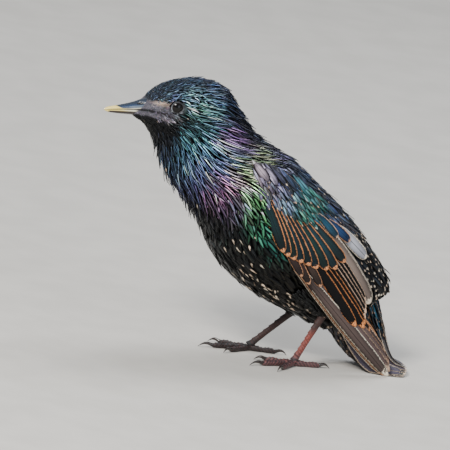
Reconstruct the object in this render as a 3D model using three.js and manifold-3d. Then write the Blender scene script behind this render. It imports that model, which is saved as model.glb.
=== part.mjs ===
// Common starling (Sturnus vulgaris): a life-size, still model of a standing bird.
// Millimetres, +Z up. The bird faces -Y, its left side is +X and its feet stand on Z = 0.
import * as THREE from 'three';
import { mergeVertices } from 'three/addons/utils/BufferGeometryUtils.js';
import Module from 'manifold-3d';

const wasm = await Module();
wasm.setup();

// driving dimensions
const GAP = 0.3;            // clearance kept between neighbouring pieces
const FLOOR_CLEAR = 0.25;   // wing and tail tips end this far above the floor
const RING = 28;            // points round the body
const SLIVER = 0.04;        // edges shorter than this are closed up after a union or a cut
const EYE = { x: 8.5, y: -79.7, z: 119.9, r: 3.95, lid: 3.35, lidThick: 0.55 };
const WRIST = { y: -37.8, z: 99.3 };          // top of the folded wing's wrist
const WING_DIR = { y: 0.672, z: -0.741 };     // along the folded wing, wrist to tip
const WING_UP = { y: 0.741, z: 0.672 };       // across the folded wing, towards the back

// Body stations: back point, belly point (Y, Z) and half width, from bill base to tail root.
const STATIONS = [
  { d: [-92.1, 120.7], v: [-98.7, 111.8], w: 4.6 },
  { d: [-87.5, 126.5], v: [-95.0, 110.3], w: 7.6 },
  { d: [-80.5, 130.2], v: [-91.0, 108.0], w: 10.2 },
  { d: [-71.5, 132.4], v: [-87.0, 103.5], w: 11.8 },
  { d: [-61.5, 131.7], v: [-83.5, 99.0], w: 12.4 },
  { d: [-53.0, 127.5], v: [-80.0, 94.5], w: 13.2 },
  { d: [-46.5, 119.5], v: [-76.0, 88.8], w: 14.8 },
  { d: [-38.5, 110.4], v: [-71.0, 82.5], w: 17.0 },
  { d: [-27.0, 103.3], v: [-64.5, 77.0], w: 20.5 },
  { d: [-15.6, 97.9], v: [-58.5, 70.0], w: 23.5 },
  { d: [-4.2, 90.2], v: [-53.5, 61.5], w: 25.4 },
  { d: [6.0, 83.2], v: [-48.5, 52.7], w: 26.0 },
  { d: [15.5, 75.8], v: [-41.0, 44.0], w: 25.4 },
  { d: [24.0, 68.0], v: [-30.0, 36.0], w: 23.0 },
  { d: [31.5, 59.5], v: [-17.0, 29.4], w: 19.3 },
  { d: [38.0, 52.0], v: [-4.0, 24.7], w: 15.0 },
  { d: [42.5, 44.8], v: [8.3, 20.7], w: 10.5 },
  { d: [43.6, 39.5], v: [17.0, 17.5], w: 7.0 },
];
const HEAD_END = 4.3;       // station where head feathers give way to the neck
const NECK_END = 8.1;       // station where the neck meets the trunk
const TRUNK_END = 16.4;

// small maths
const V3 = (x, y, z) => new THREE.Vector3(x, y, z);
const clamp = THREE.MathUtils.clamp;
const lerp = THREE.MathUtils.lerp;

function catmull(p0, p1, p2, p3, t) {
  const t2 = t * t, t3 = t2 * t;
  return 0.5 * (2 * p1 + (p2 - p0) * t + (2 * p0 - 5 * p1 + 4 * p2 - p3) * t2
    + (3 * p1 - p0 - 3 * p2 + p3) * t3);
}

// Smooth curve through [x, value] knots.
function curve(knots, x) {
  const n = knots.length;
  if (x <= knots[0][0]) return knots[0][1];
  if (x >= knots[n - 1][0]) return knots[n - 1][1];
  let i = 0;
  while (x > knots[i + 1][0]) i++;
  const a = knots[Math.max(i - 1, 0)], b = knots[i], c = knots[i + 1], e = knots[Math.min(i + 2, n - 1)];
  const h = c[0] - b[0], u = (x - b[0]) / h;
  const mb = (c[1] - a[1]) / Math.max(c[0] - a[0], 1e-6) * h;
  const mc = (e[1] - b[1]) / Math.max(e[0] - b[0], 1e-6) * h;
  const u2 = u * u, u3 = u2 * u;
  return (2 * u3 - 3 * u2 + 1) * b[1] + (u3 - 2 * u2 + u) * mb + (3 * u2 - 2 * u3) * c[1] + (u3 - u2) * mc;
}

function station(t) {
  const last = STATIONS.length - 1;
  const i = clamp(Math.floor(t), 0, last - 1), u = t - i;
  const at = (k) => STATIONS[clamp(k, 0, last)];
  const mix = (f) => catmull(f(at(i - 1)), f(at(i)), f(at(i + 1)), f(at(i + 2)), u);
  return {
    d: [mix((s) => s.d[0]), mix((s) => s.d[1])],
    v: [mix((s) => s.v[0]), mix((s) => s.v[1])],
    w: mix((s) => s.w),
  };
}

// Point of the body surface; angle 0 is the back line, PI/2 the left flank, PI the belly line.
function skin(t, angle, grow = 0) {
  const s = station(t);
  const cy = (s.d[0] + s.v[0]) / 2, cz = (s.d[1] + s.v[1]) / 2;
  const ay = (s.d[0] - s.v[0]) / 2, az = (s.d[1] - s.v[1]) / 2;
  const k = 1 + grow / Math.hypot(ay, az);
  const c = Math.cos(angle) * k;
  return V3((s.w + grow) * Math.sin(angle), cy + ay * c, cz + az * c);
}

// mesh builders
function solid(points, faces) {
  const g = new THREE.BufferGeometry();
  g.setAttribute('position', new THREE.Float32BufferAttribute(points.flatMap((p) => [p.x, p.y, p.z]), 3));
  g.setIndex(faces.flat());
  return g;
}

// Closed body through a row of rings; rings turn anticlockwise seen from the first one.
function loft(rings) {
  const n = rings[0].length, points = rings.flat(), faces = [];
  for (let i = 0; i < rings.length - 1; i++) {
    for (let j = 0; j < n; j++) {
      const k = (j + 1) % n, a = i * n + j, b = i * n + k, c = a + n, d = b + n;
      faces.push([a, b, d], [a, d, c]);
    }
  }
  for (const [row, flip] of [[0, true], [rings.length - 1, false]]) {
    const ring = rings[row], centre = new THREE.Vector3();
    ring.forEach((p) => centre.add(p));
    centre.divideScalar(n);
    points.push(centre);
    const c = points.length - 1;
    for (let j = 0; j < n; j++) {
      const a = row * n + j, b = row * n + (j + 1) % n;
      faces.push(flip ? [c, b, a] : [c, a, b]);
    }
  }
  const g = solid(points, faces);
  return volume(g) < 0 ? flipped(g) : g;
}

function volume(g) {
  const p = g.attributes.position, ix = g.index.array, a = V3(0, 0, 0), b = V3(0, 0, 0), c = V3(0, 0, 0);
  let sum = 0;
  for (let i = 0; i < ix.length; i += 3) {
    a.fromBufferAttribute(p, ix[i]); b.fromBufferAttribute(p, ix[i + 1]); c.fromBufferAttribute(p, ix[i + 2]);
    sum += a.dot(b.cross(c));
  }
  return sum / 6;
}

function flipped(g) {
  const ix = Array.from(g.index.array);
  for (let i = 0; i < ix.length; i += 3) [ix[i], ix[i + 1]] = [ix[i + 1], ix[i]];
  g.setIndex(ix);
  return g;
}

function mirrored(g) {
  const out = g.clone();
  out.applyMatrix4(new THREE.Matrix4().makeScale(-1, 1, 1));
  return flipped(out);
}

function toSolid(g) {
  const bare = g.clone();
  for (const name of Object.keys(bare.attributes)) if (name !== 'position') bare.deleteAttribute(name);
  const m = mergeVertices(bare, 1e-5);
  return new wasm.Manifold(new wasm.Mesh({
    numProp: 3,
    vertProperties: new Float32Array(m.attributes.position.array),
    triVerts: new Uint32Array(m.index.array),
  }));
}

function fromSolid(s) {
  const parts = s.simplify(SLIVER).decompose();
  parts.sort((a, b) => b.volume() - a.volume());
  const mesh = parts[0].getMesh();
  const g = new THREE.BufferGeometry();
  g.setAttribute('position', new THREE.Float32BufferAttribute(Float32Array.from(mesh.vertProperties), 3));
  g.setIndex(Array.from(mesh.triVerts));
  return g;
}

const cut = (g, ...tools) => fromSolid(tools.reduce((s, t) => s.subtract(toSolid(t)), toSolid(g)));
const join = (...gs) => fromSolid(gs.slice(1).reduce((s, g) => s.add(toSolid(g)), toSolid(gs[0])));

// Length of the body between two stations, grown outwards by an amount.
function bodyPiece(from, to, steps, { grow = 0, shiftStart = 0, shiftEnd = 0, ring = RING } = {}) {
  const rings = [];
  for (let i = 0; i <= steps; i++) {
    const t = lerp(from, to, i / steps), row = [];
    for (let j = 0; j < ring; j++) row.push(skin(t, (j / ring) * 2 * Math.PI, grow));
    rings.push(row);
  }
  const slide = (row, t, amount) => {
    const s = station(t), ay = s.d[0] - s.v[0], az = s.d[1] - s.v[1], l = Math.hypot(ay, az);
    row.forEach((p) => p.add(V3(0, (az / l) * amount, (-ay / l) * amount)));
  };
  if (shiftStart) slide(rings[0], from, shiftStart);
  if (shiftEnd) slide(rings[steps], to, shiftEnd);
  return loft(rings);
}

// Tube of elliptical section along points [x, y, z, halfWidth, halfHeight].
function limb(knots, sides = 10, samples = 0) {
  const path = new THREE.CatmullRomCurve3(knots.map((k) => V3(k[0], k[1], k[2])), false, 'centripetal');
  const n = samples || knots.length - 1, rings = [];
  for (let i = 0; i <= n; i++) {
    const u = i / n, p = path.getPoint(u), tan = path.getTangent(u);
    const f = u * (knots.length - 1), k = Math.min(Math.floor(f), knots.length - 2), r = f - k;
    const a = lerp(knots[k][3], knots[k + 1][3], r), b = lerp(knots[k][4], knots[k + 1][4], r);
    const side = V3(1, 0, 0).addScaledVector(tan, -tan.x).normalize();
    const up = new THREE.Vector3().crossVectors(tan, side).normalize();
    const row = [];
    for (let j = 0; j < sides; j++) {
      const q = (j / sides) * 2 * Math.PI;
      row.push(p.clone().addScaledVector(side, a * Math.cos(q)).addScaledVector(up, b * Math.sin(q)));
    }
    rings.push(row);
  }
  return loft(rings);
}

function ball(x, y, z, r, segs = 16, rings = 9) {
  const g = new THREE.SphereGeometry(r, segs, rings);
  g.rotateZ(Math.PI / 2);
  g.translate(x, y, z);
  g.deleteAttribute('normal');
  g.deleteAttribute('uv');
  return mergeVertices(g, 1e-4);
}

// head and bill
// Half section of the bill at stations along it: top, mouth line, underside and half width.
const BILL = [
  { y: -112.3, top: 114.1, mouth: 112.95, low: 112.2, w: 0.55 },
  { y: -110.6, top: 115.0, mouth: 113.35, low: 111.75, w: 1.15 },
  { y: -107.5, top: 115.9, mouth: 113.95, low: 111.55, w: 1.75 },
  { y: -104.0, top: 116.9, mouth: 114.6, low: 111.6, w: 2.3 },
  { y: -100.5, top: 117.9, mouth: 115.2, low: 111.7, w: 2.9 },
  { y: -97.6, top: 118.7, mouth: 115.65, low: 111.75, w: 3.5 },
];

function billPiece(upper) {
  const s = STATIONS[0];
  const rings = [];
  const row = (f) => {
    const out = [];
    for (let j = 0; j <= 8; j++) {
      const q = (j / 8) * Math.PI;
      out.push(f(Math.cos(q), Math.sin(q)));
    }
    return out;
  };
  for (const k of BILL) {
    const mouth = upper ? k.mouth + GAP / 2 : k.mouth - GAP / 2;
    const height = upper ? k.top - mouth : k.low - mouth;
    rings.push(row((c, h) => V3(k.w * c * (upper ? 1 : 0.93), k.y, mouth + height * Math.pow(h, 0.85))));
  }
  // the last ring lies along the front plane of the head feathers
  const ay = s.d[0] - s.v[0], az = s.d[1] - s.v[1], l = Math.hypot(ay, az);
  const front = [-(az / l) * GAP, (ay / l) * GAP];
  const at = (f) => [s.v[0] + ay * f + front[0], s.v[1] + az * f + front[1]];
  const [m, e] = upper ? [at(0.5), at(0.97)] : [at(0.46), at(0.04)];
  rings.push(row((c, h) => V3(4.1 * c * (upper ? 1 : 0.96), lerp(m[0], e[0], Math.pow(h, 0.85)),
    lerp(m[1], e[1], Math.pow(h, 0.85)))));
  return loft(rings);
}

// Slot of a nostril on one side of the upper bill.
function nostril(side) {
  const g = ball(0, 0, 0, 1, 10, 6);
  g.applyMatrix4(new THREE.Matrix4().makeScale(1.0, 1.75, 0.55));
  g.rotateX(-0.28);
  g.translate(side * 2.9, -96.3, 117.75);
  return g;
}

// Half width of the body where a level line across it passes through (y, z).
function flank(y, z) {
  let lo = 0, hi = STATIONS.length - 1;
  const ahead = (t) => {
    const s = station(t);
    return (s.d[0] - s.v[0]) * (z - s.v[1]) - (s.d[1] - s.v[1]) * (y - s.v[0]);
  };
  for (let i = 0; i < 40; i++) {
    const mid = (lo + hi) / 2;
    if (ahead(mid) < 0) lo = mid; else hi = mid;
  }
  const s = station(lo), ay = (s.d[0] - s.v[0]) / 2, az = (s.d[1] - s.v[1]) / 2;
  const q = ((y - (s.d[0] + s.v[0]) / 2) * ay + (z - (s.d[1] + s.v[1]) / 2) * az) / (ay * ay + az * az);
  return s.w * Math.sqrt(Math.max(1 - q * q, 0));
}

// Corner of the mouth: the bill's edge line runs on into the face as a shallow crease.
const MOUTH = [[-96.4, 115.75], [-92.6, 116.7], [-89.4, 117.5], [-86.6, 117.2], [-83.6, 115.9], [-81.2, 114.6]];

function mouthCrease(side) {
  return loft(MOUTH.map(([y, z], i) => {
    const x = flank(y, z), deep = x - 0.75, half = i === MOUTH.length - 1 ? 0.06 : 0.22;
    return [[deep, -half * 0.4], [x + 1.2, -half], [x + 1.2, half], [deep, half * 0.4]]
      .map(([a, b]) => V3(side * a, y, z + b));
  }));
}

function headPiece() {
  let g = bodyPiece(0, HEAD_END, 12);
  const lids = [1, -1].map((side) => {
    const lid = new THREE.TorusGeometry(EYE.lid, EYE.lidThick, 5, 18);
    lid.deleteAttribute('normal');
    lid.deleteAttribute('uv');
    lid.rotateY(Math.PI / 2);
    lid.rotateZ(side * 0.1);
    lid.translate(side * (EYE.x + 2.3), EYE.y, EYE.z);
    return mergeVertices(lid, 1e-4);
  });
  g = join(g, ...lids);
  const sockets = [1, -1].map((side) => ball(side * EYE.x, EYE.y, EYE.z, EYE.r + GAP + 0.05, 18, 10));
  return cut(g, mouthCrease(1), mouthCrease(-1), ...sockets);
}

// wings
const WING_LOW = [[0, -3], [4, -7.5], [12, -10.8], [24, -12], [36.5, -12.4], [62, -14.2], [95, -11], [112, -8.2],
  [120, -6.8]];
const WING_HIGH = [[0, 0.5], [4, 4.5], [15, 11], [30, 16], [45, 19], [60, 19], [75, 16], [84, 13], [96, 7], [104, 2],
  [112, 0.8], [120, 0]];
const WING_SIDE = [[0, 20.4], [12, 23.2], [30, 26.2], [50, 27], [65, 25.2], [80, 21.8], [95, 18.4], [112, 15.2],
  [131, 13.2]];
const WING_HALF = [[0, 26], [20, 27], [45, 28], [70, 28], [95, 26], [131, 24]];
const SLAB_END = 119;       // the wing's solid core stops short of the primary tips
const VANE_THICK = 0.6;     // wing and tail feathers
const WING_TILT = 0.2;      // lower edge of each wing feather stands out, in radians
const TAIL_TILT = 0.13;

// Outer face of the folded wing: s runs from the wrist to the tip, n across towards the back.
function wingFace(s, n, lift = 0) {
  const side = curve(WING_SIDE, s), half = curve(WING_HALF, s);
  const q = clamp((n + 5) / half, -0.98, 0.98);
  const x = side * Math.sqrt(1 - q * q);
  return V3(x + lift, WRIST.y + WING_DIR.y * s + WING_UP.y * n, WRIST.z + WING_DIR.z * s + WING_UP.z * n);
}

function wingCore() {
  const rings = [], steps = 10, across = 4;
  for (let i = 0; i <= steps; i++) {
    const s = SLAB_END * Math.pow(i / steps, 1.05), lo = curve(WING_LOW, s), hi = curve(WING_HIGH, s);
    const thick = lerp(3.4, 1.0, s / SLAB_END), row = [], under = 2;
    for (let j = 0; j <= across; j++) row.push(wingFace(s, lerp(lo, hi, j / across)));
    for (let j = under; j >= 0; j--) row.push(wingFace(s, lerp(lo, hi, j / under), -thick));
    rings.push(row);
  }
  return loft(rings);
}

// Feather rows of the folded wing: [root s, root n, tip s, tip n, width, lift at root, lift at tip].
function wingFeathers() {
  const rows = [];
  const primaries = [[128.5, -4.4], [130.5, -2.6], [129.5, -0.9], [124.5, 0.6], [117, 0.9], [108.5, -0.4]];
  primaries.forEach(([s, n], i) => rows.push([61 + i, -12 + 1.5 * i, s, n, 6.8, 0.1 * i, 0.4 + 0.22 * i]));
  const secondaries = [[99.5, -3.8], [103.8, 0.4], [100, 2.8], [96, 4.8], [92, 6.8]];
  secondaries.forEach(([s, n], j) => rows.push([59, -9 + 3.4 * j, s, n, 7.8, 0.2, 1.3 + 0.16 * j]));
  const tertials = [[96.2, 8.4], [85, 13], [74.5, 16.4]];
  tertials.forEach(([s, n], k) => rows.push([52 - 2 * k, 9.4 + 3 * k, s, n, 10.5, 0.2, 2.1 + 0.2 * k]));
  for (let i = 0; i < 2; i++) rows.push([30, -9.8 + 1.6 * i, 56 + 5 * i, -12.6 + 2.8 * i, 5.6, -0.2, 1.0]);
  const greater = [[43, -12.2], [48, -10.4], [54, -7.4], [58.5, -4.6], [62.5, -1], [65.2, 3.4], [65.5, 8.8]];
  for (const [s, n] of greater) rows.push([s - 24, n * 0.8 + 1.6, s, n, 7.4, 0.1, 1.8]);
  const median = [[19.5, -5.4], [25.5, -2.6], [31, 1.2], [36, 6], [40.5, 11]];
  for (const [s, n] of median) rows.push([s - 12.5, n * 0.85 + 0.8, s, n, 7.6, 0.0, 1.9]);
  const lesser = [[10.5, -3.8], [16, -0.2], [21, 4.2], [25, 9]];
  for (const [s, n] of lesser) rows.push([s - 10, n * 0.8 + 0.4, s, n, 7.2, -0.2, 1.7]);
  for (const [s, n] of [[7.5, -1.2], [11.5, 3.2]]) rows.push([s - 7, n * 0.75, s, n, 6.2, -0.3, 1.4]);
  for (const [s, n] of [[36, 15.4], [48, 18], [60, 18]]) rows.push([s - 16, n * 0.9, s, n, 8.4, 0.1, 1.8]);
  return rows;
}

// Vane profile along its length, as a share of the full width.
const ROUND_TIP = [[0, 0.45], [0.25, 0.85], [0.55, 1], [0.8, 0.92], [0.92, 0.66], [1, 0.22]];
const POINTED = [[0, 0.85], [0.35, 1], [0.6, 0.8], [0.85, 0.36], [1, 0.12]];

// Flat vane that follows a surface: face(u) gives its middle, its side and outward directions.
function vane(face, width, thick, steps, profile, tilt) {
  const rings = [];
  for (let i = 0; i <= steps; i++) {
    const u = 1 - Math.pow(1 - i / steps, 1.3);
    const { at, side, out } = face(u), half = width * curve(profile, u) / 2, t = lerp(thick, thick * 0.72, u) / 2;
    const across = side.clone().multiplyScalar(Math.cos(tilt)).addScaledVector(out, -Math.sin(tilt));
    const up = out.clone().multiplyScalar(Math.cos(tilt)).addScaledVector(side, Math.sin(tilt));
    const row = [[-1, -1], [1, -1], [1, 1], [-1, 1]].map(([a, b]) =>
      at.clone().addScaledVector(across, a * half).addScaledVector(up, b * t));
    const low = Math.min(...row.map((p) => p.z));
    if (low < FLOOR_CLEAR) row.forEach((p) => { p.z += FLOOR_CLEAR - low; });
    rings.push(row);
  }
  return loft(rings);
}

function wingVane([s0, n0, s1, n1, width, lift0, lift1]) {
  const long = s1 - s0 > 25;
  const face = (u) => {
    const s = lerp(s0, s1, u), n = lerp(n0, n1, u), e = 0.5;
    const at = wingFace(s, n);
    const along = wingFace(s + e * (s1 - s0) / 30, n + e * (n1 - n0) / 30).sub(at).normalize();
    const across = wingFace(s, n + e).sub(at).normalize();
    const out = new THREE.Vector3().crossVectors(across, along).normalize();
    if (out.x < 0) out.negate();
    const side = new THREE.Vector3().crossVectors(out, along).normalize();
    if (side.z < 0) side.negate();
    return { at: at.addScaledVector(out, lerp(lift0, lift1, Math.pow(u, 0.8)) + 0.25), side, out };
  };
  return vane(face, width, VANE_THICK, long ? 4 : 3, ROUND_TIP, WING_TILT);
}

const wingPiece = () => join(wingCore(), ...wingFeathers().map(wingVane));

// tail
// Stations of the tail: top ridge and lower edge (Y, Z), and half width.
const TAIL = [
  { d: [37, 40.5], v: [16.5, 20.5], w: 6.8 },
  { d: [43, 27], v: [26, 9.8], w: 8.2 },
  { d: [48.2, 14.2], v: [34.5, 3.4], w: 9.4 },
  { d: [53, 6.4], v: [42, 1.3], w: 10.6 },
  { d: [60, 3.2], v: [56, 0.75], w: 12 },
];

function tailStation(u) {
  const f = u * (TAIL.length - 1), i = clamp(Math.floor(f), 0, TAIL.length - 2), r = f - i;
  const at = (k) => TAIL[clamp(k, 0, TAIL.length - 1)];
  const mix = (g) => catmull(g(at(i - 1)), g(at(i)), g(at(i + 1)), g(at(i + 2)), r);
  return {
    d: [mix((t) => t.d[0]), mix((t) => t.d[1])],
    v: [mix((t) => t.v[0]), mix((t) => t.v[1])],
    w: mix((t) => t.w),
  };
}

// Point of the tail's roof: angle 0 on the ridge, PI/2 at the lower edge.
function tailRoof(u, angle) {
  const s = tailStation(u), c = Math.cos(angle);
  return V3(s.w * Math.sin(angle), lerp(s.v[0], s.d[0], c), lerp(s.v[1], s.d[1], c));
}

// Upper and under tail coverts: a tapering core that holds the tail feathers.
function tailCoverts() {
  const rings = [];
  for (let i = 0; i <= 7; i++) {
    const u = (i / 7) * 0.76, s = tailStation(u), row = [], k = 0.5 * (1 - 0.06 * i);
    for (let j = 0; j < 16; j++) {
      const q = (j / 16) * 2 * Math.PI, c = Math.cos(q) * k + 0.46;
      row.push(V3(s.w * (1 - 0.05 * i) * Math.sin(q), lerp(s.v[0], s.d[0], c), lerp(s.v[1], s.d[1], c)));
    }
    rings.push(row);
  }
  return loft(rings);
}

const TAIL_PAIRS = 6;
const TAIL_WIDTH = 7.4;     // full width of a tail feather

// Tail feather, 0 the middle pair, 5 the outermost; they fold over each other like a roof.
function tailVane(i, sign) {
  const angle = 0.12 + 0.25 * i, from = 0.1 + 0.02 * i;
  const face = (f) => {
    const u = lerp(from, 1, f), e = 0.01, at = tailRoof(u, angle);
    const along = tailRoof(u, angle).sub(tailRoof(u - e, angle)).normalize();
    const up = tailRoof(u, angle - 0.05).sub(at).normalize();
    const out = new THREE.Vector3().crossVectors(up, along).normalize();
    if (out.x * Math.sin(angle) + out.y * 0.4 * Math.cos(angle) < 0) out.negate();
    const side = up.addScaledVector(along, -up.dot(along)).normalize();
    at.addScaledVector(out, -0.08 * i - 0.3 * (1 - f));
    for (const p of [at, out, side]) p.x *= sign;
    return { at, side, out };
  };
  return vane(face, TAIL_WIDTH, VANE_THICK, 5, ROUND_TIP, TAIL_TILT);
}

function tailPiece() {
  const vanes = [];
  for (let i = TAIL_PAIRS - 1; i >= 0; i--) for (const sign of [1, -1]) vanes.push(tailVane(i, sign));
  return join(tailCoverts(), ...vanes);
}

// legs and feet
const LEGS = {
  left: {
    foot: [12, 0], heel: [13.2, 10.6, 27.4], knee: [15, -6, 44],
    toes: [['inner', -14, 19], ['middle', 20, 26], ['outer', 52, 20], ['hind', 186, 19]],
  },
  right: {
    foot: [-11.1, -16.4], heel: [-11.6, 5.4, 23.6], knee: [-14, -10, 42],
    toes: [['inner', 36, 19], ['middle', 6, 26], ['outer', -30, 20], ['hind', 172, 19]],
  },
};
const PALM = 5.2;           // reach of the palm along the front toes
const HEEL_PALM = 3.4;      // reach of the palm along the hind toe
const CLAW_SHARE = 0.27;    // claw's share of a toe's length
const LONG_TOE = 23;        // toes longer than this have one joint more
const PAD = 0.12;           // swelling of the pads under the joints
const ANKLE_Z = 2.2;        // where the shank leaves the palm

// Half-round toe section with a flat sole, as shares of the half width and the height.
const TOE_SECTION = [[-0.72, 0], [0.72, 0], [1, 0.3], [0.95, 0.62], [0.6, 0.93], [0, 1.04], [-0.6, 0.93],
  [-0.95, 0.62], [-1, 0.3]];

function toeRing(x, y, dir, w, h) {
  const side = V3(dir.y, -dir.x, 0), row = [];
  for (const [a, b] of TOE_SECTION) row.push(V3(x, y, b * h).addScaledVector(side, a * w));
  return row;
}

function toeDir(angle) {
  const q = THREE.MathUtils.degToRad(angle);
  return V3(Math.sin(q), -Math.cos(q), 0);
}

function toePiece(foot, angle, length, start) {
  const dir = toeDir(angle), claw = length * CLAW_SHARE, end = length - claw, rings = [];
  const joints = length > LONG_TOE ? 3 : 2, steps = joints * 3;
  for (let i = 0; i <= steps; i++) {
    const u = i / steps, r = lerp(start + GAP, end, u);
    const pad = PAD * Math.cos(u * joints * 2 * Math.PI);
    const w = lerp(1.35, 1.0, u) - pad, h = lerp(2.5, 1.9, u) - pad;
    rings.push(toeRing(foot[0] + dir.x * r, foot[1] + dir.y * r, dir, w, h));
  }
  return loft(rings);
}

function clawPiece(foot, angle, length) {
  const dir = toeDir(angle), claw = length * CLAW_SHARE, base = length - claw + GAP, rings = [];
  const steps = 5;
  for (let i = 0; i <= steps; i++) {
    const u = i / steps, r = base + claw * 1.05 * u;
    const rise = 0.75 + 0.62 * Math.sin(u * Math.PI * 0.72) - 1.05 * u * u;
    const h = lerp(1.55, 0.3, u), w = lerp(0.66, 0.16, u);
    const row = [];
    for (let j = 0; j < 6; j++) {
      const q = (j / 6) * 2 * Math.PI;
      row.push(V3(foot[0] + dir.x * r, foot[1] + dir.y * r, Math.max(rise + h / 2 + (h / 2) * Math.sin(q) - 0.45, 0.02))
        .addScaledVector(V3(dir.y, -dir.x, 0), w * Math.cos(q)));
    }
    rings.push(row);
  }
  return loft(rings);
}

function shankPiece(leg, grow = 0) {
  const [fx, fy] = leg.foot, [hx, hy, hz] = leg.heel;
  const at = (u) => [lerp(fx, hx, u), lerp(fy, hy, u), lerp(ANKLE_Z, hz, u)];
  const widths = [[0, 1.7, 1.9], [0.12, 1.25, 1.6], [0.3, 1.1, 1.45], [0.6, 1.15, 1.5], [0.85, 1.35, 1.75],
    [1 + grow / 26, 1.6, 2.1]];
  return limb(widths.map(([u, a, b]) => [...at(u), a + grow, b + grow]), 10);
}

function tarsusPiece(leg) {
  const [fx, fy] = leg.foot;
  const g = shankPiece(leg);
  const stubs = leg.toes.map(([name, angle]) => {
    const dir = toeDir(angle), reach = name === 'hind' ? HEEL_PALM : PALM;
    return loft([-1.2, reach * 0.5, reach].map((r) => toeRing(fx + dir.x * r, fy + dir.y * r, dir,
      1.3, 2.75)));
  });
  return join(g, ...stubs);
}

function thighPiece(leg) {
  const [kx, ky, kz] = leg.knee, [hx, hy, hz] = leg.heel;
  const at = (u) => [lerp(kx, hx, u), lerp(ky, hy, u), lerp(kz, hz, u)];
  const l = Math.hypot(kx - hx, ky - hy, kz - hz), end = 1 - (GAP + 0.2) / l;
  return limb([
    [...at(0), 6.5, 9], [...at(0.3), 5.6, 7.6], [...at(0.6), 4.2, 5.4], [...at(0.85), 2.8, 3.4], [...at(end), 2.0, 2.5],
  ], 12, 6);
}

// throat and neck hackles
// Rows of narrow pointed feathers, each [station of the root, length in stations, width, lift at tip, count].
const HACKLES = [
  [4.8, 0.9, 2.9, 1.3, 12], [5.45, 0.95, 3.1, 1.5, 13], [6.1, 1.0, 3.3, 1.7, 14], [6.7, 1.0, 3.4, 1.9, 14],
  [7.3, 1.05, 3.4, 2.0, 13],
];
const HACKLE_FROM = 0.75;   // angle from the back line where the hackles begin
const HACKLE_THICK = 1.0;
const HACKLE_SINK = 0.75;   // depth of the hackle roots

function hackle(t0, angle, length, width, tip) {
  const face = (u) => {
    const t = t0 + length * u, at = skin(t, angle), e = 0.02;
    const along = skin(t + e, angle).sub(at).normalize();
    const across = skin(t, angle + e).sub(at).normalize();
    const out = new THREE.Vector3().crossVectors(across, along).normalize();
    const middle = skin(t, 0).add(skin(t, Math.PI)).multiplyScalar(0.5);
    if (out.dot(at.clone().sub(middle)) < 0) out.negate();
    const side = new THREE.Vector3().crossVectors(out, along).normalize();
    return { at: at.addScaledVector(out, lerp(-HACKLE_SINK, tip, Math.pow(u, 0.75))), side, out };
  };
  return vane(face, width, HACKLE_THICK, 2, POINTED, 0.12);
}

function neckPiece() {
  const locks = [];
  HACKLES.forEach(([t0, length, width, tip, count], row) => {
    for (let i = 0; i < count; i++) {
      const f = (i + (row % 2 ? 0.5 : 0.25)) / count, angle = lerp(HACKLE_FROM, 2 * Math.PI - HACKLE_FROM, f);
      const fromBack = Math.min(angle, 2 * Math.PI - angle);
      if (t0 > 7 && fromBack < 2.0) continue;          // the folded wing lies there
      if (t0 > 6.5 && fromBack < 1.75) continue;
      locks.push(hackle(t0 + 0.12 * Math.sin(i * 2.4 + row), angle, length, width, tip));
    }
  });
  return join(bodyPiece(HEAD_END, NECK_END, 7, { shiftStart: GAP }), ...locks);
}

// materials
const paint = (color, roughness, metalness = 0) => new THREE.MeshStandardMaterial({ color, roughness, metalness });
const LOOK = {
  head: paint(0x151b26, 0.5, 0.2),
  neck: paint(0x1c2b3f, 0.42, 0.3),
  body: paint(0x151a18, 0.5, 0.25),
  wing: paint(0x1f2b30, 0.45, 0.25),
  tail: paint(0x2a2a2c, 0.6, 0.05),
  thigh: paint(0x191b1a, 0.6, 0.1),
  billUpper: paint(0x3c4656, 0.38),
  billLower: paint(0xcdbf7c, 0.38),
  eye: paint(0x0a0706, 0.08),
  leg: paint(0x6a3a30, 0.5),
  claw: paint(0x17120f, 0.3),
};

// assembly
const bird = new THREE.Group();
const put = (name, geometry, material) => {
  const g = geometry.clone();
  g.computeVertexNormals();
  const mesh = new THREE.Mesh(g, material);
  mesh.name = name;
  bird.add(mesh);
};

const trunkTool = bodyPiece(NECK_END - 2.5, TRUNK_END, 13, { grow: GAP + 0.3, shiftEnd: GAP, ring: 20 });
const thighs = { left: thighPiece(LEGS.left), right: thighPiece(LEGS.right) };
const tail = cut(tailPiece(), trunkTool);
const wingLeft = cut(wingPiece(), trunkTool);
const wingRight = mirrored(wingLeft);

put('head', headPiece(), LOOK.head);
const faceTool = bodyPiece(0, 2, 8, { grow: GAP, shiftStart: -GAP });
put('bill_upper', cut(billPiece(true), faceTool, nostril(1), nostril(-1)), LOOK.billUpper);
put('bill_lower', cut(billPiece(false), faceTool), LOOK.billLower);
put('eye_left', ball(EYE.x, EYE.y, EYE.z, EYE.r), LOOK.eye);
put('eye_right', ball(-EYE.x, EYE.y, EYE.z, EYE.r), LOOK.eye);
put('neck', neckPiece(), LOOK.neck);
put('torso', bodyPiece(NECK_END, TRUNK_END, 15, { shiftStart: GAP }), LOOK.body);
put('wing_left', wingLeft, LOOK.wing);
put('wing_right', wingRight, LOOK.wing);
put('tail', tail, LOOK.tail);
for (const side of ['left', 'right']) {
  const leg = LEGS[side];
  put(`thigh_${side}`, cut(thighs[side], trunkTool, shankPiece(leg, GAP)), LOOK.thigh);
  put(`tarsus_${side}`, tarsusPiece(leg), LOOK.leg);
  for (const [name, angle, length] of leg.toes) {
    put(`toe_${name}_${side}`, toePiece(leg.foot, angle, length, name === 'hind' ? HEEL_PALM : PALM), LOOK.leg);
    put(`claw_${name}_${side}`, clawPiece(leg.foot, angle, length), LOOK.claw);
  }
}

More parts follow.
